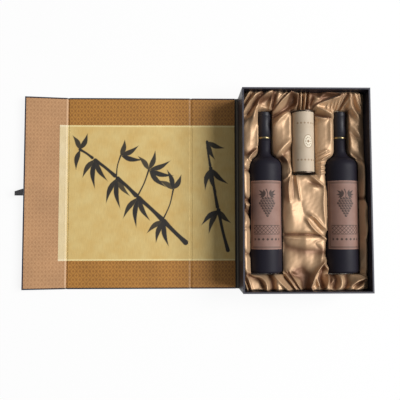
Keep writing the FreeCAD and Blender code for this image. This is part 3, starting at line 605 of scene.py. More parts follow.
# Each fold: its height (below zero for a crease), its width, and the line that it runs along.
FOLDS = [
    (8, 4, [(-101, 180), (-108, 169), (-115, 158)]),
    (9, 4.5, [(-82, 179), (-94, 170), (-107, 155), (-115, 142)]), (5, 3, [(-90, 183), (-94, 170)]),
    (12, 6, [(-63, 180), (-75, 172), (-84, 164), (-87, 155), (-92, 143), (-94, 134)]),
    (8, 4, [(-59, 178), (-61, 165), (-64, 148)]), (5, 5, [(-75, 153), (-67, 150)]),
    (5, 7, [(-92, 140), (-104, 128), (-115, 116)]), (7, 4, [(-84, 118), (-84, 86)]),
    (5, 5, [(-25, 134), (-25, 104)]), (4, 4, [(50, 136), (50, 94)]),
    (-7, 5, [(-116, 69), (-104, 68), (-95, 73)]),
    (7, 3.5, [(-88, 75), (-96, 68), (-101, 61), (-102, 56), (-98, 53)]),
    (9, 4, [(-26, 180), (-41, 166), (-50, 156), (-58, 147)]),
    (5, 2.5, [(-33, 181), (-45, 168), (-56, 152)]), (6, 5, [(-47, 181), (-51, 168)]),
    (8, 3, [(-21, 180), (-12, 175), (-13, 161), (-17, 150)]),
    (6, 5, [(-15, 157), (-27, 147), (-42, 135), (-54, 122)]), (7, 6, [(-27, 90), (-40, 78), (-54, 63)]),
    (-5, 5, [(-27, 77), (-40, 62), (-49, 58)]), (6, 4, [(-37, 61), (-30, 53), (-25, 38)]),
    (-5, 4, [(-43, 56), (-32, 53)]), (6, 2, [(-7, 180), (-6, 151)]), (6, 2, [(2, 180), (2, 151)]),
    (6, 2, [(10, 180), (9, 152)]),
    (8, 4, [(43, 180), (55, 179), (63, 177), (66, 173), (62, 170), (54, 168)]),
    (9, 4.5, [(67, 175), (55, 169), (36, 163), (22, 158), (13, 151)]),
    (-8, 4, [(62, 176), (48, 176), (38, 179)]), (5, 5, [(13, 178), (24, 169), (35, 175)]),
    (8, 4, [(23, 154), (36, 147), (49, 141)]), (4, 2, [(44, 160), (42, 149)]),
    (4, 2, [(52, 163), (50, 146)]), (4, 2, [(58, 164), (56, 147)]), (4, 2, [(65, 167), (62, 149)]),
    (-8, 2.5, [(24, 142), (34, 138), (46, 135)]), (6, 3.5, [(24, 135), (35, 132), (49, 136)]),
    (3, 1.6, [(20, 64), (39, 73)]), (3, 1.6, [(20, 57), (43, 71)]), (3, 1.6, [(21, 50), (46, 64)]),
    (3, 2, [(23, 46), (35, 49)]), (3, 2, [(23, 38), (35, 41)]), (3, 2, [(23, 30), (36, 33)]),
    (-4, 2.5, [(79, 175), (73, 163), (67, 148)]), (6, 2.5, [(80, 168), (75, 159), (70, 149)]),
    (6, 2.5, [(75, 177), (69, 163)]), (6, 3, [(92, 177), (98, 163), (105, 150)]),
    (5, 3, [(100, 177), (106, 160)]), (-9, 3, [(-115, -13), (-107, -17), (-100, -21)]),
    (5, 4, [(-112, -24), (-106, -27), (-99, -21)]), (-9, 3, [(-112, -31), (-106, -39), (-100, -47)]),
    (-4, 4, [(-21, 19), (-21, -9)]), (5, 3, [(-36, 19), (-30, 26), (-26, 33)]),
    (5, 5, [(27, -131), (32, -116)]), (9, 3.5, [(34, -137), (41, -149), (40, -164), (35, -174)]),
    (7, 5, [(57, -150), (63, -159), (61, -174), (50, -182)]),
    (6, 3, [(48, -165), (41, -173), (38, -179)]), (7, 3, [(87, -151), (99, -155), (109, -160)]),
    (8, 3.5, [(80, -174), (93, -165), (107, -161)]), (6, 3, [(89, -179), (100, -173), (105, -167)]),
    (6, 2.5, [(-115, -153), (-111, -166), (-107, -180)]),
    (6, 2.5, [(-109, -151), (-104, -165), (-100, -180)]),
    (9, 4, [(-106, -149), (-98, -155), (-85, -157), (-75, -166), (-73, -181)]),
    (-8, 3.5, [(-65, -155), (-62, -166), (-61, -180)]), (8, 3.5, [(-62, -152), (-49, -166), (-34, -181)]),
    (7, 7, [(-58, -156), (-54, -168), (-52, -181)]), (5, 1.8, [(-38, -151), (-20, -179)]),
    (5, 1.8, [(-33, -150), (-16, -179)]), (5, 1.8, [(-29, -150), (-12, -177)]),
    (9, 4, [(108, -20), (114, -36), (115, -54), (112, -72), (108, -86)]),
    (5, 3, [(107, -86), (109, -107), (103, -137)]), (-6, 2.5, [(97, -16), (106, -15)]),
    (-3, 2, [(104, 37), (104, 7), (103, -13)]), (-6, 2, [(-99, 174), (-108, 160), (-113, 150)]),
    (-6, 2.5, [(-88, 168), (-95, 155), (-103, 142)]), (-8, 3, [(-75, 181), (-80, 174)]),
    (-7, 4, [(-80, 163), (-70, 168), (-64, 170)]), (-6, 1.5, [(-29, 181), (-43, 167), (-56, 150)]),
    (-8, 2.5, [(-24, 148), (-20, 147)]), (-4, 5, [(-37, 15), (-36, -10)]),
    (-6, 2, [(-112, -155), (-103, -180)]), (-7, 2, [(95, -171), (105, -164)]),
    (11, 8, [(-114, 45), (-114, 20), (-113, -5)]), (11, 8, [(-114, -62), (-114, -100), (-113, -145)]),
    (9, 6, [(108, 42), (108, 15), (107, -8)]), (8, 8, [(110, -30), (111, -70), (109, -140)]),
    (8, 6, [(83, 164), (83, 122), (85, 82)]), (-1.5, 14, [(-20, -118), (15, -122)]),
    (-6, 3, [(-116, 40), (-104, 36)]), (-3, 3, [(-116, -72), (-105, -68)]),
    (-5, 3, [(-116, -112), (-106, -116)]), (6, 2.5, [(-25, 30), (-29, 13), (-30, -1), (-29, -18)]),
    (4, 2.5, [(-15, 27), (-14, 12), (-12, -2), (-10, -14)]),
    (-1.6, 4, [(-9, -10), (-7, -22), (-4, -36), (-1, -44)]),
    (5, 2.5, [(4, -56), (11, -67), (20, -76), (28, -82), (36, -88)]),
    (5, 11, [(-29, -8), (-27, -28), (-26, -40)]), (5, 3, [(12, -47), (19, -52), (26, -60), (37, -71)]),
    (-2, 2.5, [(17, -58), (22, -65), (28, -72)]), (5, 3, [(35, 6), (33, -22), (34, -45), (36, -66)]),
    (3, 5, [(17, 5), (22, 5)]), (5, 3, [(12, 27), (22, 18), (33, 9)]), (-6, 4, [(16, 13), (26, 9)]),
    (-7, 2.2, [(-40, -81), (-19, -81), (3, -81), (25, -83)]),
    (2.5, 3, [(-40, -86), (-19, -88), (0, -89)]),
    (-1.8, 3, [(34, -88), (23, -93), (19, -97), (23, -103), (34, -112)]), (4, 9, [(0, -91), (0, -97)]),
    (-5, 7, [(-39, -100), (-23, -106), (-5, -110), (27, -113)]), (5, 9, [(37, -4), (37, -25), (38, -48)]),
    (3, 6, [(-26, -147), (-22, -148)]), (-7, 5, [(-11, -150), (0, -156), (1, -174)]),
    (10, 3, [(32, -132), (18, -150), (12, -163), (7, -175), (9, -180)]),
    (-11, 3, [(30, -145), (27, -158), (29, -174)]), (6, 2.5, [(24, -152), (19, -161), (22, -172)]),
    (-8, 2.2, [(-104, -154), (-95, -159), (-85, -163), (-79, -174)]),
    (-7, 1.5, [(-37, -160), (-24, -177)]), (-7, 1.5, [(-31, -153), (-16, -177)]),
    (-5, 4, [(-20, -154), (-10, -157), (0, -155)]), (-6, 5, [(-5, -149), (-4, -164), (-1, -177)]),
    (-8, 3, [(45, -155), (44, -166)]), (-9, 2.5, [(52, -153), (54, -164), (51, -175)]),
    (-7, 3.5, [(76, -157), (75, -168), (70, -178)]), (-6, 1.8, [(86, -172), (95, -168)]),
    (7, 4, [(83, 177), (84, 165), (88, 154), (97, 138)]), (-4, 2.5, [(85, 174), (91, 162), (98, 149)]),
    (-5, 3, [(80, 150), (87, 140)]), (4, 5, [(78, 122), (90, 117), (102, 102)]),
    (-4, 3, [(80, 117), (90, 105), (99, 98)]), (5, 3, [(79, 81), (86, 67), (100, 54)]),
    (-4, 2.5, [(93, 66), (105, 57)]), (5, 2.5, [(96, 50), (96, 32), (97, 8)]),
    (-8, 2.5, [(-56, 180), (-56, 167), (-58, 157)]), (-8, 3, [(-24, 176), (-27, 162)]),
    (-9, 3, [(-22, 160), (-35, 150), (-46, 143), (-56, 138)]), (-8, 2.5, [(-18, 171), (-18, 162)]),
    (-7, 1.3, [(-10, 175), (-11, 154)]), (-7, 1.3, [(-2, 171), (-2, 154)]),
    (-8, 1.5, [(6, 179), (5, 154)]), (-8, 3, [(13, 180), (16, 171), (12, 162)]),
    (-8, 3.5, [(26, 177), (34, 173), (46, 175)]), (-8, 2, [(45, 170), (31, 164), (20, 158), (14, 151)]),
]


def bottle_outline(y, body, neck):
    """Half-width of a bottle at y: a straight body, two equal arcs over the shoulder with a radius of
    (a^2 + b^2) / 4a for a step of a over a length of b, and a straight neck."""
    step = body - neck
    radius = (step ** 2 + SHOULDER_LENGTH ** 2) / (4 * step)
    rise = np.clip(y - SHOULDER_Y, 0.0, SHOULDER_LENGTH)
    upper = body - (radius - np.sqrt(radius ** 2 - np.minimum(rise, SHOULDER_LENGTH / 2) ** 2))
    left = SHOULDER_LENGTH - np.maximum(rise, SHOULDER_LENGTH / 2)
    lower = neck + (radius - np.sqrt(radius ** 2 - left ** 2))
    return np.where(rise < SHOULDER_LENGTH / 2, upper, lower)


def fold_height(x, y, height, width, points):
    """The lift of one fold over the plane: exp(c - sqrt(c^2 + u^2)) times its height, with u the
    distance from its line in widths. It dies away past both ends."""
    line = curve_through(points, FOLD_STEPS)
    run = np.gradient(line, axis=0)
    run /= np.linalg.norm(run, axis=1, keepdims=True)
    inside, spot = within(x, y, line, FOLD_REACH * width)
    away = spot[:, None, :] - line[None]
    nearest = (away ** 2).sum(axis=-1).argmin(axis=1)
    offset = away[np.arange(len(spot)), nearest]
    along = (offset * run[nearest]).sum(axis=-1)
    beside = np.abs(offset[:, 0] * run[nearest, 1] - offset[:, 1] * run[nearest, 0])
    u = np.hypot(beside / width, along / (2 * width))
    lift = np.zeros_like(x)
    lift[inside] = height * np.exp(CREST - np.sqrt(CREST ** 2 + u ** 2))
    return lift


def swaying(across, along, length, sway, slow):
    """A wave across the cloth, whose phase sways with a slower wave along it."""
    return np.sin(across / length + sway * np.sin(along / slow))


def trough(count):
    """Across a well, in half-widths: straight down one side, round the bottom and up the other.
    Gives the place across, the drop below the axis, and the share of the side wall's height."""
    t = np.linspace(-1, 1, count)
    reach = 1 - WALL_SHARE
    angle = np.clip(t / reach, -1, 1) * math.pi / 2
    climb = np.clip((np.abs(t) - reach) / WALL_SHARE, 0, 1)
    return np.sin(angle), -np.cos(angle), climb


def hug(half, tall):
    """How far the satin leans over a bottle at a height over its axis, so that it follows the round
    of the well: the half-width less sqrt(half^2 - tall^2). It leaves the slim wells upright."""
    over = half - np.sqrt(np.maximum(half ** 2 - np.maximum(tall, 0) ** 2, 0))
    return np.minimum(HUG, over) * smooth((half - HUG_FROM) / HUG_EASE)


# The grid of places: lands and wells in turn from the left, closer where a well's sides are steep.
half_wide = cradle_high[0] - WALL_GAP
y = np.linspace(cradle_low[1] + WALL_GAP, cradle_high[1] - WALL_GAP, SATIN_ROWS)
well_half = bottle_outline(y, BODY_RADIUS, NECK_RADIUS) + WELL_GAP
tube_half = np.full_like(y, TUBE_RADIUS + WELL_GAP)

# Each well: the place and height of its axis, its half-width along y, and its ends.
wells = [
    (-BOTTLE_X, BOTTLE_Z, well_half, (BOTTLE_FOOT, BOTTLE_HEAD)),
    (0.0, TUBE_Z, tube_half, (tube_foot, end_high[1])),
    (BOTTLE_X, BOTTLE_Z, well_half, (BOTTLE_FOOT, BOTTLE_HEAD)),
]
parts, past, sunk = [], [], []
left = np.full_like(y, -half_wide)
for number, (axis, _, half, (foot_y, head_y)) in enumerate(wells):
    past.append(np.maximum(np.maximum(foot_y - WELL_GAP - y, y - head_y - WELL_GAP), 0.0)[:, None])
    sunk.append(1 - smooth(past[number] / WELL_END))
    land = np.linspace(0, 1, SATIN_COLUMNS[2 * number], endpoint=False)
    parts.append(left[:, None] + (axis - half - left)[:, None] * land)
    count = SATIN_COLUMNS[2 * number + 1]
    across = sunk[number] * trough(count)[0] + (1 - sunk[number]) * np.linspace(-1, 1, count)
    parts.append(axis + half[:, None] * across[:, :-1])
    left = axis + half
land = np.linspace(0, 1, SATIN_COLUMNS[-1])
parts.append(left[:, None] + (half_wide - left)[:, None] * land)
x = np.concatenate(parts, axis=1)
rows_y = np.repeat(y[:, None], x.shape[1], axis=1)

# The lands: puffed up away from their borders, higher at both ends, with folds and creases.
border = half_wide - np.abs(x) + WALL_PUFF
for number, (axis, _, half, _) in enumerate(wells):
    beside = np.maximum(np.abs(x - axis) - half[:, None], 0.0)
    border = np.minimum(border, np.hypot(beside, past[number]))
rise = END_RISE * smooth((np.abs(rows_y) - (cradle_high[1] - END_REACH)) / END_REACH)
z = SATIN_LOW + PUFF * (1 - np.exp(-border / PUFF_REACH)) + rise
broad = swaying(x, rows_y, length=9.1, sway=1.3, slow=17)
z += RIPPLE * broad * swaying(rows_y, x, length=12.7, sway=0.8, slow=15)
fine = swaying(x - CRINKLE_SLANT * rows_y, rows_y, length=1.9, sway=2.2, slow=9)
z += CRINKLE * fine * np.sin((rows_y + CRINKLE_CROSS * x) / CRINKLE_LENGTH)
ridges, creases = np.zeros_like(x), np.zeros_like(x)
for height, width, points in FOLDS:
    lift = fold_height(x, rows_y, FOLD_GAIN * abs(height), width, points)
    if height > 0:
        ridges += lift ** JOIN
    else:
        creases += lift
tuck = smooth((rows_y - cradle_high[1] + HEAD_TUCK) / HEAD_TUCK)
tuck += smooth((cradle_low[1] + FOOT_TUCK - rows_y) / FOOT_TUCK)
sink = CREASE_MOST * (1 - np.exp(-(creases + TUCK_DEEP * tuck) / CREASE_MOST))
over_foam = z + ridges ** (1 / JOIN) - sink - cradle_high[2] - SATIN_OVER_FOAM
z = cradle_high[2] + SATIN_OVER_FOAM + (over_foam + np.hypot(over_foam, 2 * FOAM_SOFT)) / 2

# The wells: the satin is pressed down round each axis, and the lands beside it lean over.
flat_x = x.copy()
start = 0
for number, (axis, axis_z, half, _) in enumerate(wells):
    aside = flat_x - axis
    fade = np.exp(-np.maximum(np.abs(aside) - half[:, None], 0) / HUG_REACH)
    outside = np.abs(aside) >= half[:, None] - TINY
    lean = sunk[number] * fade * hug(half[:, None], z - axis_z)
    x -= np.where(outside, np.sign(aside) * lean, 0)
    start += SATIN_COLUMNS[2 * number]
    count = SATIN_COLUMNS[2 * number + 1]
    _, drop, climb = trough(count)
    lip_left, lip_right = z[:, start], z[:, start + count - 1]
    lip = np.where(np.arange(count - 1) < count / 2, lip_left[:, None], lip_right[:, None])
    tall = climb[:-1] * (lip - axis_z)
    pressed = axis_z + half[:, None] * drop[:-1] + tall
    bed = slice(start, start + count - 1)
    lean = sunk[number] * hug(half[:, None], tall)
    x[:, bed] = flat_x[:, bed] - np.sign(aside[:, bed]) * lean
    z[:, bed] = z[:, bed] * (1 - sunk[number]) + pressed * sunk[number]
    start += count - 1

satin = grid_piece("satin_bed", x, rows_y, z)
# Painted shade: the deeper a crease, the more its colour is darkened.
paint(satin, "painted_crease_shade", smooth((creases - CREASE_FROM) / CREASE_DEEP))

# Long loose threads give satin a sheen like that of metal. Its creases carry painted shade, a deep
# brown that darkens with their depth. The threads are drawn many times as thick as they are, to show.
satin_cloth, tree, shader, place = start_material("polyester_satin_gold")
scale = (1 / (FLOAT_THREAD * MM), 1 / (FLOAT_RUN * MM), 1 / (FLOAT_RUN * MM))
stretched = add(tree, "Mapping", {"Vector": place, "Scale": scale})
floats = add(tree, "TexNoise", {"Vector": stretched, "Scale": 1.0})
tone = add(tree, "Mix", {0: floats, 6: "#cbaa87", 7: "#ba956f"}, data_type="RGBA")
painted_crease_shade = add(tree, "Attribute", {}, attribute_name="painted_crease_shade").outputs["Fac"]
shade = add(tree, "Math", (painted_crease_shade, CREASE_SHADE), operation="MULTIPLY")
shaded_creases = add(tree, "Mix", {0: shade, 6: tone, 7: "#582808"}, data_type="RGBA")
threads = add(tree, "Bump", {"Height": floats, "Strength": 0.1, "Distance": 0.1 * MM})
fill(shader, {"Base Color": shaded_creases, "Roughness": 0.52, "Metallic": 0.44, "Normal": threads, "IOR": 1.55,
              "Specular IOR Level": 0.6, "Sheen Weight": 0.1, "Sheen Roughness": 0.35})
satin.data.materials.append(satin_cloth)
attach(satin, "tray")
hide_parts("satin_lining")

# Bottles: slim half-litre bottles of black glass with a frosted, acid-etched skin. Each has a
# natural cork, a matt black capsule with a gold ring, and a paper label with a printed vine.

RING = 96
ARC_STEPS = 9
SHOULDER_STEPS = 33
HEEL_ROUND = 5.0
PUNT_RADIUS = 20.0
PUNT_DEPTH = 10.0
MOUTH_GAP = 0.2
FOIL = 0.4
FOIL_LIP = (0.05, 0.1)
CAP_ROUND = 1.2
PRESSED_RING = ((0.0, 8.0), (0.25, 7.4), (0.25, 6.6), (0.0, 6.0))
BAND_FROM_TOP = 50.0
BAND_WIDTH = 3.2
BAND_EDGE = 0.2
BAND_SUNK = 0.1
BAND_PROUD = 0.12
ETCHING = 0.9
HAZE = 40.0
PORES = 2.0
FOIL_RIPPLE = 5.0
FOIL_SCUFF = 1.5
LAID_LINE = 1.005
BLOT = 14.0
PRINT_EDGE = 0.6
PRINT_STEP = 0.6
LABEL_INK = "#3d2b24"
FRAME_LINES = ((3.0, 0.5), (4.8, 0.3))
GRAPE_ROWS = (4, 5, 6, 5, 4, 3, 2, 1)
GRAPE_WIDE = 5.2
GRAPE_TALL = 4.5
GRAPE_TOP = 30.0
GRAPE_HALF = 2.4
SHINE_HALF = 0.9
SHINE_ASIDE = 0.8
SHINE_SHARE = 0.8
VINE_ROOT = (4.0, 36.0)
VINE_LEAVES = ((5, 13), (38, 15), (72, 11), (-28, 11))
VINE_LEAF_HALF = 2.2
STEM = [(0, 32), (0.5, 39), (-2, 46)]
STEM_HALVES = (0.7, 0.8, 1.1)
TRELLIS_PITCH = 7.0
TRELLIS_LINE = 0.6
TRELLIS_FRAME = 0.4
TRELLIS_INSET = 8.0
TRELLIS_HALF = 8.0
TRELLIS_PLACE = -27.0


def lathe(name, profile, x, foot_y, z):
    """A surface of revolution about a line along Y, through (radius, distance along) points."""
    angle = np.linspace(0, 2 * math.pi, RING, endpoint=False)[::-1]
    radius, along = profile[:, :1], profile[:, 1:]
    x, z = x + radius * np.sin(angle), z + radius * np.cos(angle)
    return grid_piece(name, x, foot_y + along, z, ring=True, merge=True)


def quarter(centre, radius, start, end):
    """Points round part of a circle in the profile plane, angles in degrees from the radius axis."""
    angle = np.radians(np.linspace(start, end, ARC_STEPS))
    return np.stack([centre[0] + radius * np.cos(angle), centre[1] + radius * np.sin(angle)], axis=-1)


def inked(depth):
    """Print on a place that lies so many millimetres inside a shape: 1, or 0 outside, eased."""
    return smooth(depth / PRINT_EDGE + 0.5)


def diamonds(u, v, row, pitch, half, reach):
    """A row of diamonds along u, at one height, out to a reach on each side."""
    local = u - pitch * np.round(u / pitch)
    depth = half - np.abs(local) - np.abs(v - row)
    return inked(np.minimum(depth, reach - np.abs(u)))


def vine_print(u, v, half_u, half_v):
    """A label's print: a double frame, a bunch of grapes under two leaves, and a trellis."""
    inset = np.minimum(half_u - np.abs(u), half_v - np.abs(v))
    layers = [inked(half - np.abs(inset - place)) for place, half in FRAME_LINES]
    for row, count in enumerate(GRAPE_ROWS):
        for number in range(count):
            left, rise = u - GRAPE_WIDE * (number - (count - 1) / 2), v - GRAPE_TOP + GRAPE_TALL * row
            shine = inked(SHINE_HALF - np.hypot(left - SHINE_ASIDE, rise - SHINE_ASIDE))
            layers.append(inked(GRAPE_HALF - np.hypot(left, rise)) * (1 - SHINE_SHARE * shine))
    for side in (-1, 1):
        root = np.array(VINE_ROOT) * (side, 1)
        for heading, length in VINE_LEAVES:
            turn = math.radians(heading)
            run = length * np.array([side * math.cos(turn), math.sin(turn)])
            line = [root, root + 0.5 * run, root + run]
            layers.append(brush(u, v, line, VINE_LEAF_HALF * LEAF_SHAPE, PRINT_EDGE))
    layers.append(brush(u, v, STEM, STEM_HALVES, PRINT_EDGE))
    slopes = [np.abs(way - TRELLIS_PITCH * np.round(way / TRELLIS_PITCH)) for way in (u + v, u - v)]
    panel = np.minimum(half_u - TRELLIS_INSET - np.abs(u), TRELLIS_HALF - np.abs(v - TRELLIS_PLACE))
    layers.append(np.minimum(inked(TRELLIS_LINE - np.minimum(*slopes)), inked(panel)))
    layers.append(inked(TRELLIS_FRAME - np.abs(panel)))
    layers.append(diamonds(u, v, row=-44.0, pitch=8.0, half=2.6, reach=half_u - 9.0))
    return np.max(layers, axis=0)


# Acid leaves black glass with a soft haze in place of gloss. Its grit is drawn much coarser than it is,
# to show.
frosted_glass, tree, shader, place = start_material("etched_glass_black")
grit = add(tree, "TexNoise", {"Vector": place, "Scale": 1 / (ETCHING * MM), "Detail": 3.0})
etch = add(tree, "Bump", {"Height": grit, "Strength": 0.08, "Distance": 0.05 * MM})
haze = add(tree, "TexNoise", {"Vector": place, "Scale": 1 / (HAZE * MM)})
dull = add(tree, "MapRange", (haze, *NOISE_RANGE, 0.5, 0.6))
fill(shader, {"Base Color": "#1f1d26", "Roughness": dull, "Normal": etch, "IOR": 1.52,
              "Specular IOR Level": 0.14})

# Bark is a dull tan, with dark pores.
natural_cork, tree, shader, place = start_material("natural_cork")
pores = add(tree, "TexNoise", {"Vector": place, "Scale": 1 / (PORES * MM), "Detail": 5.0})
tone = add(tree, "Mix", {0: pores, 6: "#c79a6b", 7: "#8f623a"}, data_type="RGBA")
fill(shader, {"Base Color": tone, "Roughness": 0.85})

# Matt lacquer on thin foil gives a dim sheen, with faint ripples from its shrinking on.
capsule_foil, tree, shader, place = start_material("matt_foil_black")
shrunk = add(tree, "TexNoise", {"Vector": place, "Scale": 1 / (FOIL_RIPPLE * MM)})
ripple = add(tree, "Bump", {"Height": shrunk, "Strength": 0.15, "Distance": 0.2 * MM})
fill(shader, {"Base Color": "#201f27", "Roughness": 0.45, "Normal": ripple,
              "Specular IOR Level": 0.3})

# Foil that is stamped on hot is a pale, bright metal with fine scuffs.
gold_foil, tree, shader, place = start_material("hot_stamped_gold")
scuff = add(tree, "TexNoise", {"Vector": place, "Scale": 1 / (FOIL_SCUFF * MM)})
dull = add(tree, "MapRange", {"Value": scuff, "To Min": 0.22, "To Max": 0.4})
fill(shader, {"Base Color": "#998c68", "Metallic": 1.0, "Roughness": dull})

# Laid paper is dull and blotted, with faint lines from the wires of its mould.
label_paper, tree, shader, place = start_material("laid_paper_rose")
laid = add(tree, "TexWave", {"Vector": place, "Scale": WAVE / (LAID_LINE * MM), "Distortion": 0.6},
           bands_direction="Y").outputs[1]
blot = add(tree, "TexNoise", {"Vector": place, "Scale": 1 / (BLOT * MM), "Detail": 4.0})
tone = add(tree, "Mix", {0: blot, 6: "#95766a", 7: "#7e5a4d"}, data_type="RGBA")
lines = add(tree, "MapRange", {"Value": laid, "To Min": 0.95, "To Max": 1.04})
shaded = add(tree, "HueSaturation", {"Value": lines, "Color": tone})
ink = add(tree, "Attribute", {}, attribute_name="print").outputs["Fac"]
inks = add(tree, "Mix", {0: ink, 6: shaded, 7: LABEL_INK}, data_type="RGBA")
ribbed = add(tree, "Bump", {"Height": laid, "Strength": 0.15, "Distance": 0.1 * MM})
fill(shader, {"Base Color": inks, "Roughness": 0.65, "Normal": ribbed})

BOTTLE_LENGTH = glass_high[1] - glass_low[1]
BODY_END = SHOULDER_Y - BOTTLE_FOOT
NECK_START = NECK_Y - BOTTLE_FOOT
GLASS_NECK = NECK_RADIUS - FOIL
GLASS_TOP = BOTTLE_LENGTH - MOUTH_GAP
CAPSULE_FOOT = capsule_low[1] - BOTTLE_FOOT
CAPSULE_TOP = capsule_high[1] - BOTTLE_FOOT
BAND_FOOT = BOTTLE_LENGTH - BAND_FROM_TOP
label_low, label_high = box_mm("right_bottle_label")
LABEL_RADIUS = label_high[2] - BOTTLE_Z
LABEL_SWEEP = math.asin((label_high[0] - BOTTLE_X) / LABEL_RADIUS)

shoulder = np.linspace(BODY_END, NECK_START, SHOULDER_STEPS)
dome = np.linspace(0, PUNT_RADIUS, ARC_STEPS)
body = np.concatenate([
    np.stack([dome, PUNT_DEPTH * (1 - (dome / PUNT_RADIUS) ** 2)], axis=-1),
    quarter((BODY_RADIUS - HEEL_ROUND, HEEL_ROUND), HEEL_ROUND, -90, 0),
    np.stack([bottle_outline(shoulder + BOTTLE_FOOT, BODY_RADIUS, GLASS_NECK), shoulder], axis=-1),
    [(GLASS_NECK, GLASS_TOP), (0.0, GLASS_TOP)],
])
capsule = np.concatenate([
    [(GLASS_NECK + FOIL_LIP[0], CAPSULE_FOOT), (NECK_RADIUS, CAPSULE_FOOT + FOIL_LIP[1])],
    [(NECK_RADIUS - inward, CAPSULE_TOP - down) for inward, down in PRESSED_RING],
    quarter((NECK_RADIUS - CAP_ROUND, CAPSULE_TOP - CAP_ROUND), CAP_ROUND, 0, 90),
    [(0.0, CAPSULE_TOP)],
])
band = np.array([
    (NECK_RADIUS - BAND_SUNK, BAND_FOOT),
    (NECK_RADIUS + BAND_PROUD, BAND_FOOT + BAND_EDGE),
    (NECK_RADIUS + BAND_PROUD, BAND_FOOT + BAND_WIDTH - BAND_EDGE),
    (NECK_RADIUS - BAND_SUNK, BAND_FOOT + BAND_WIDTH),
])

for side, axis in (("left", -BOTTLE_X), ("right", BOTTLE_X)):
    whole = side + "_bottle"
    for suffix, profile, material, slot, node in (
        ("_body", body, frosted_glass, "bottle_glass", "_glass"),
        ("_foil", capsule, capsule_foil, "capsule", "_capsule"),
        ("_gold_ring", band, gold_foil, "capsule", None),
    ):
        piece = lathe(whole + suffix, profile, axis, BOTTLE_FOOT, BOTTLE_Z)
        piece.data.materials.append(material)
        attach(piece, whole)
        if node:
            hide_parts(whole + node)
    half_u, half_v = LABEL_RADIUS * LABEL_SWEEP, (label_high[1] - label_low[1]) / 2
    turn = np.linspace(-LABEL_SWEEP, LABEL_SWEEP, int(2 * half_u / PRINT_STEP))
    along = np.linspace(label_low[1], label_high[1], int(2 * half_v / PRINT_STEP))
    x, z = axis + LABEL_RADIUS * np.sin(turn), BOTTLE_Z + LABEL_RADIUS * np.cos(turn)
    piece = grid_piece(whole + "_paper", x, along[:, None], z)
    u, v = np.meshgrid(LABEL_RADIUS * turn, along - (label_low[1] + label_high[1]) / 2)
    paint(piece, "print", vine_print(u, v, half_u, half_v))
    piece.data.materials.append(label_paper)
    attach(piece, whole)
    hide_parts(whole + "_label")
dress(natural_cork, ["left_bottle_cork", "right_bottle_cork"])

# Accessory tube: a spiral-wound paper tube with a parchment print of diamonds and a dotted oval,
# closed by two pressed tin ends.

TUBE_WALL = 1.0
TUBE_TURN = math.radians(16)
TUBE_INK = "#86694a"
PARCHMENT_BLOT = 18.0
TIN_SCUFF = 3.0
PLATE = "#d9cdb6"
PLATE_HALF = np.array([8.5, 12.0])
PLATE_LINE = 0.4
DOT_COUNT = 10
DOT_PLACE = 0.6
DOT_HALF = 1.0
ROW_PLACE = 34.0
ROW_SHARE = 0.8


def tube_print(u, v):
    """A tube's print, rows of diamonds near both ends and a ring of dots on an oval plate, and the
    plate itself."""
    oval = PLATE_HALF[0] * (1 - np.hypot(u / PLATE_HALF[0], v / PLATE_HALF[1]))
    layers = [inked(PLATE_LINE - np.abs(oval)), diamonds(u, v, row=0.0, pitch=40.0, half=3.0, reach=8.0)]
    for dot in range(DOT_COUNT):
        turn = 2 * math.pi * dot / DOT_COUNT
        centre = DOT_PLACE * PLATE_HALF * (math.cos(turn), math.sin(turn))
        layers.append(inked(DOT_HALF - np.hypot(u - centre[0], v - centre[1])))
    for end in (-1, 1):
        row = diamonds(u, v, row=end * ROW_PLACE, pitch=6.5, half=2.2, reach=24.0)
        layers.append(ROW_SHARE * row)
    return np.max(layers, axis=0), inked(oval)


# The paper is printed to look like old parchment: dull, with soft blots.
parchment, tree, shader, place = start_material("parchment_tube")
blot = add(tree, "TexNoise", {"Vector": place, "Scale": 1 / (PARCHMENT_BLOT * MM), "Detail": 5.0})
tone = add(tree, "Mix", {0: blot, 6: "#c4b5a0", 7: "#b29e84"}, data_type="RGBA")
pale = add(tree, "Attribute", {}, attribute_name="plate").outputs["Fac"]
plated = add(tree, "Mix", {0: pale, 6: tone, 7: PLATE}, data_type="RGBA")
ink = add(tree, "Attribute", {}, attribute_name="print").outputs["Fac"]
inks = add(tree, "Mix", {0: ink, 6: plated, 7: TUBE_INK}, data_type="RGBA")
fibres = add(tree, "Bump", {"Height": blot, "Strength": 0.2, "Distance": 0.2 * MM})
fill(shader, {"Base Color": inks, "Roughness": 0.6, "Normal": fibres})

# Lacquer gives the tin a dark, soft sheen with fine scuffs.
tinplate, tree, shader, place = start_material("lacquered_tin")
scuff = add(tree, "TexNoise", {"Vector": place, "Scale": 1 / (TIN_SCUFF * MM), "Detail": 3.0})
dull = add(tree, "MapRange", {"Value": scuff, "To Min": 0.3, "To Max": 0.45})
fill(shader, {"Base Color": "#4a4038", "Metallic": 0.8, "Roughness": dull})

tube_low, tube_high = box_mm("tube_wall")
tube_radius = (tube_high[0] - tube_low[0]) / 2
tube_length = tube_high[1] - tube_low[1]
tube_x, tube_y, tube_z = (tube_low + tube_high) / 2
turn = np.linspace(0, 2 * math.pi, int(2 * math.pi * tube_radius / PRINT_STEP), endpoint=False)
along = np.linspace(-tube_length / 2, tube_length / 2, int(tube_length / PRINT_STEP))
radius = np.pad(np.full(len(along), tube_radius), 1, constant_values=tube_radius - TUBE_WALL)[:, None]
along = np.pad(along, 1, mode="edge")
x, z = tube_x + radius * np.sin(turn), tube_z + radius * np.cos(turn)
wall = grid_piece("tube_paper", x, tube_y + along[:, None], z, ring=True)
bend = (turn - TUBE_TURN + math.pi) % (2 * math.pi) - math.pi
printed, plate = tube_print(*np.meshgrid(tube_radius * bend, along))
paint(wall, "print", printed)
paint(wall, "plate", plate)
wall.data.materials.append(parchment)
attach(wall, "accessory_tube")
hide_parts("tube_wall")
dress(tinplate, ["tube_top_end", "tube_foot_end"])

# Stage: a plain white table, a large window-like light from the right, and a camera that looks
# almost straight down.

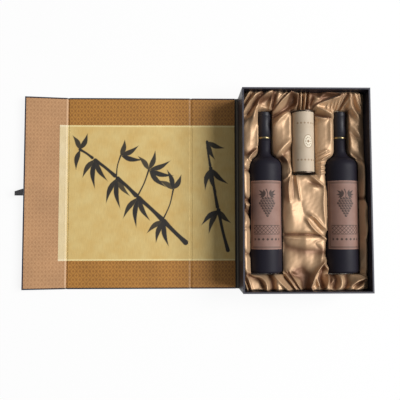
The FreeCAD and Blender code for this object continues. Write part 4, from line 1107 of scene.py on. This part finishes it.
FLOOR = 40000.0
FLOOR_DROP = -0.1
FLOOR_GLOW = 0.88
SKY = 0.25
WINDOW_SIZE = (3.4, 3.8)
WINDOW_POWER = 425.0
WINDOW_PLACE = (4.0, 0.3, 4.2)
WINDOW_TURN = (-4, 44, 0)
SENSOR = 36.0
LENS = 43.055
EYE_PLACE = (-0.21036, -0.06652, 0.93429)
EYE_TURN = (3.196, -1.189, -0.07)


def set_up(name, data, place, turn):
    """Puts a light or a camera at its place in metres, turned by degrees about each axis."""
    held = bpy.data.objects.new(name, data)
    scene.collection.objects.link(held)
    held.location = place
    held.rotation_euler = [math.radians(angle) for angle in turn]
    return held


ends = np.array([-FLOOR / 2, FLOOR / 2])
floor = grid_piece("floor", ends, ends[:, None], FLOOR_DROP)

# The table looks an even white to the camera, in metal and through glass, and still takes a shadow.
white, tree, shader, place = start_material("white_table")
rays = add(tree, "LightPath", {}).outputs
seen = add(tree, "Math", (rays["Is Camera Ray"], rays["Is Glossy Ray"]), operation="MAXIMUM")
seen = add(tree, "Math", (seen, rays["Is Transmission Ray"]), operation="MAXIMUM")
share = add(tree, "Math", (seen, FLOOR_GLOW), operation="MULTIPLY")
glow = add(tree, "Emission", {"Color": "#ffffff", "Strength": 1.0})
mixed = add(tree, "MixShader", (share, shader, glow))
fill(shader, {"Base Color": "#f4f4f4", "Roughness": 0.9})
fill(tree.nodes["Material Output"], {"Surface": mixed})
floor.data.materials.append(white)

world = bpy.data.worlds.new("studio")
scene.world = world
world.use_nodes = True
fill(world.node_tree.nodes["Background"], {"Color": "#ffffff", "Strength": SKY})

window = bpy.data.lights.new("window", "AREA")
window.shape = "RECTANGLE"
window.size, window.size_y = WINDOW_SIZE
window.energy = WINDOW_POWER
set_up("window", window, WINDOW_PLACE, WINDOW_TURN)

eye = bpy.data.cameras.new("eye")
eye.sensor_fit = "HORIZONTAL"
eye.sensor_width = SENSOR
eye.lens = LENS
eye.clip_start = 0.01
scene.camera = set_up("eye", eye, EYE_PLACE, EYE_TURN)
scene.view_settings.view_transform = "Standard"
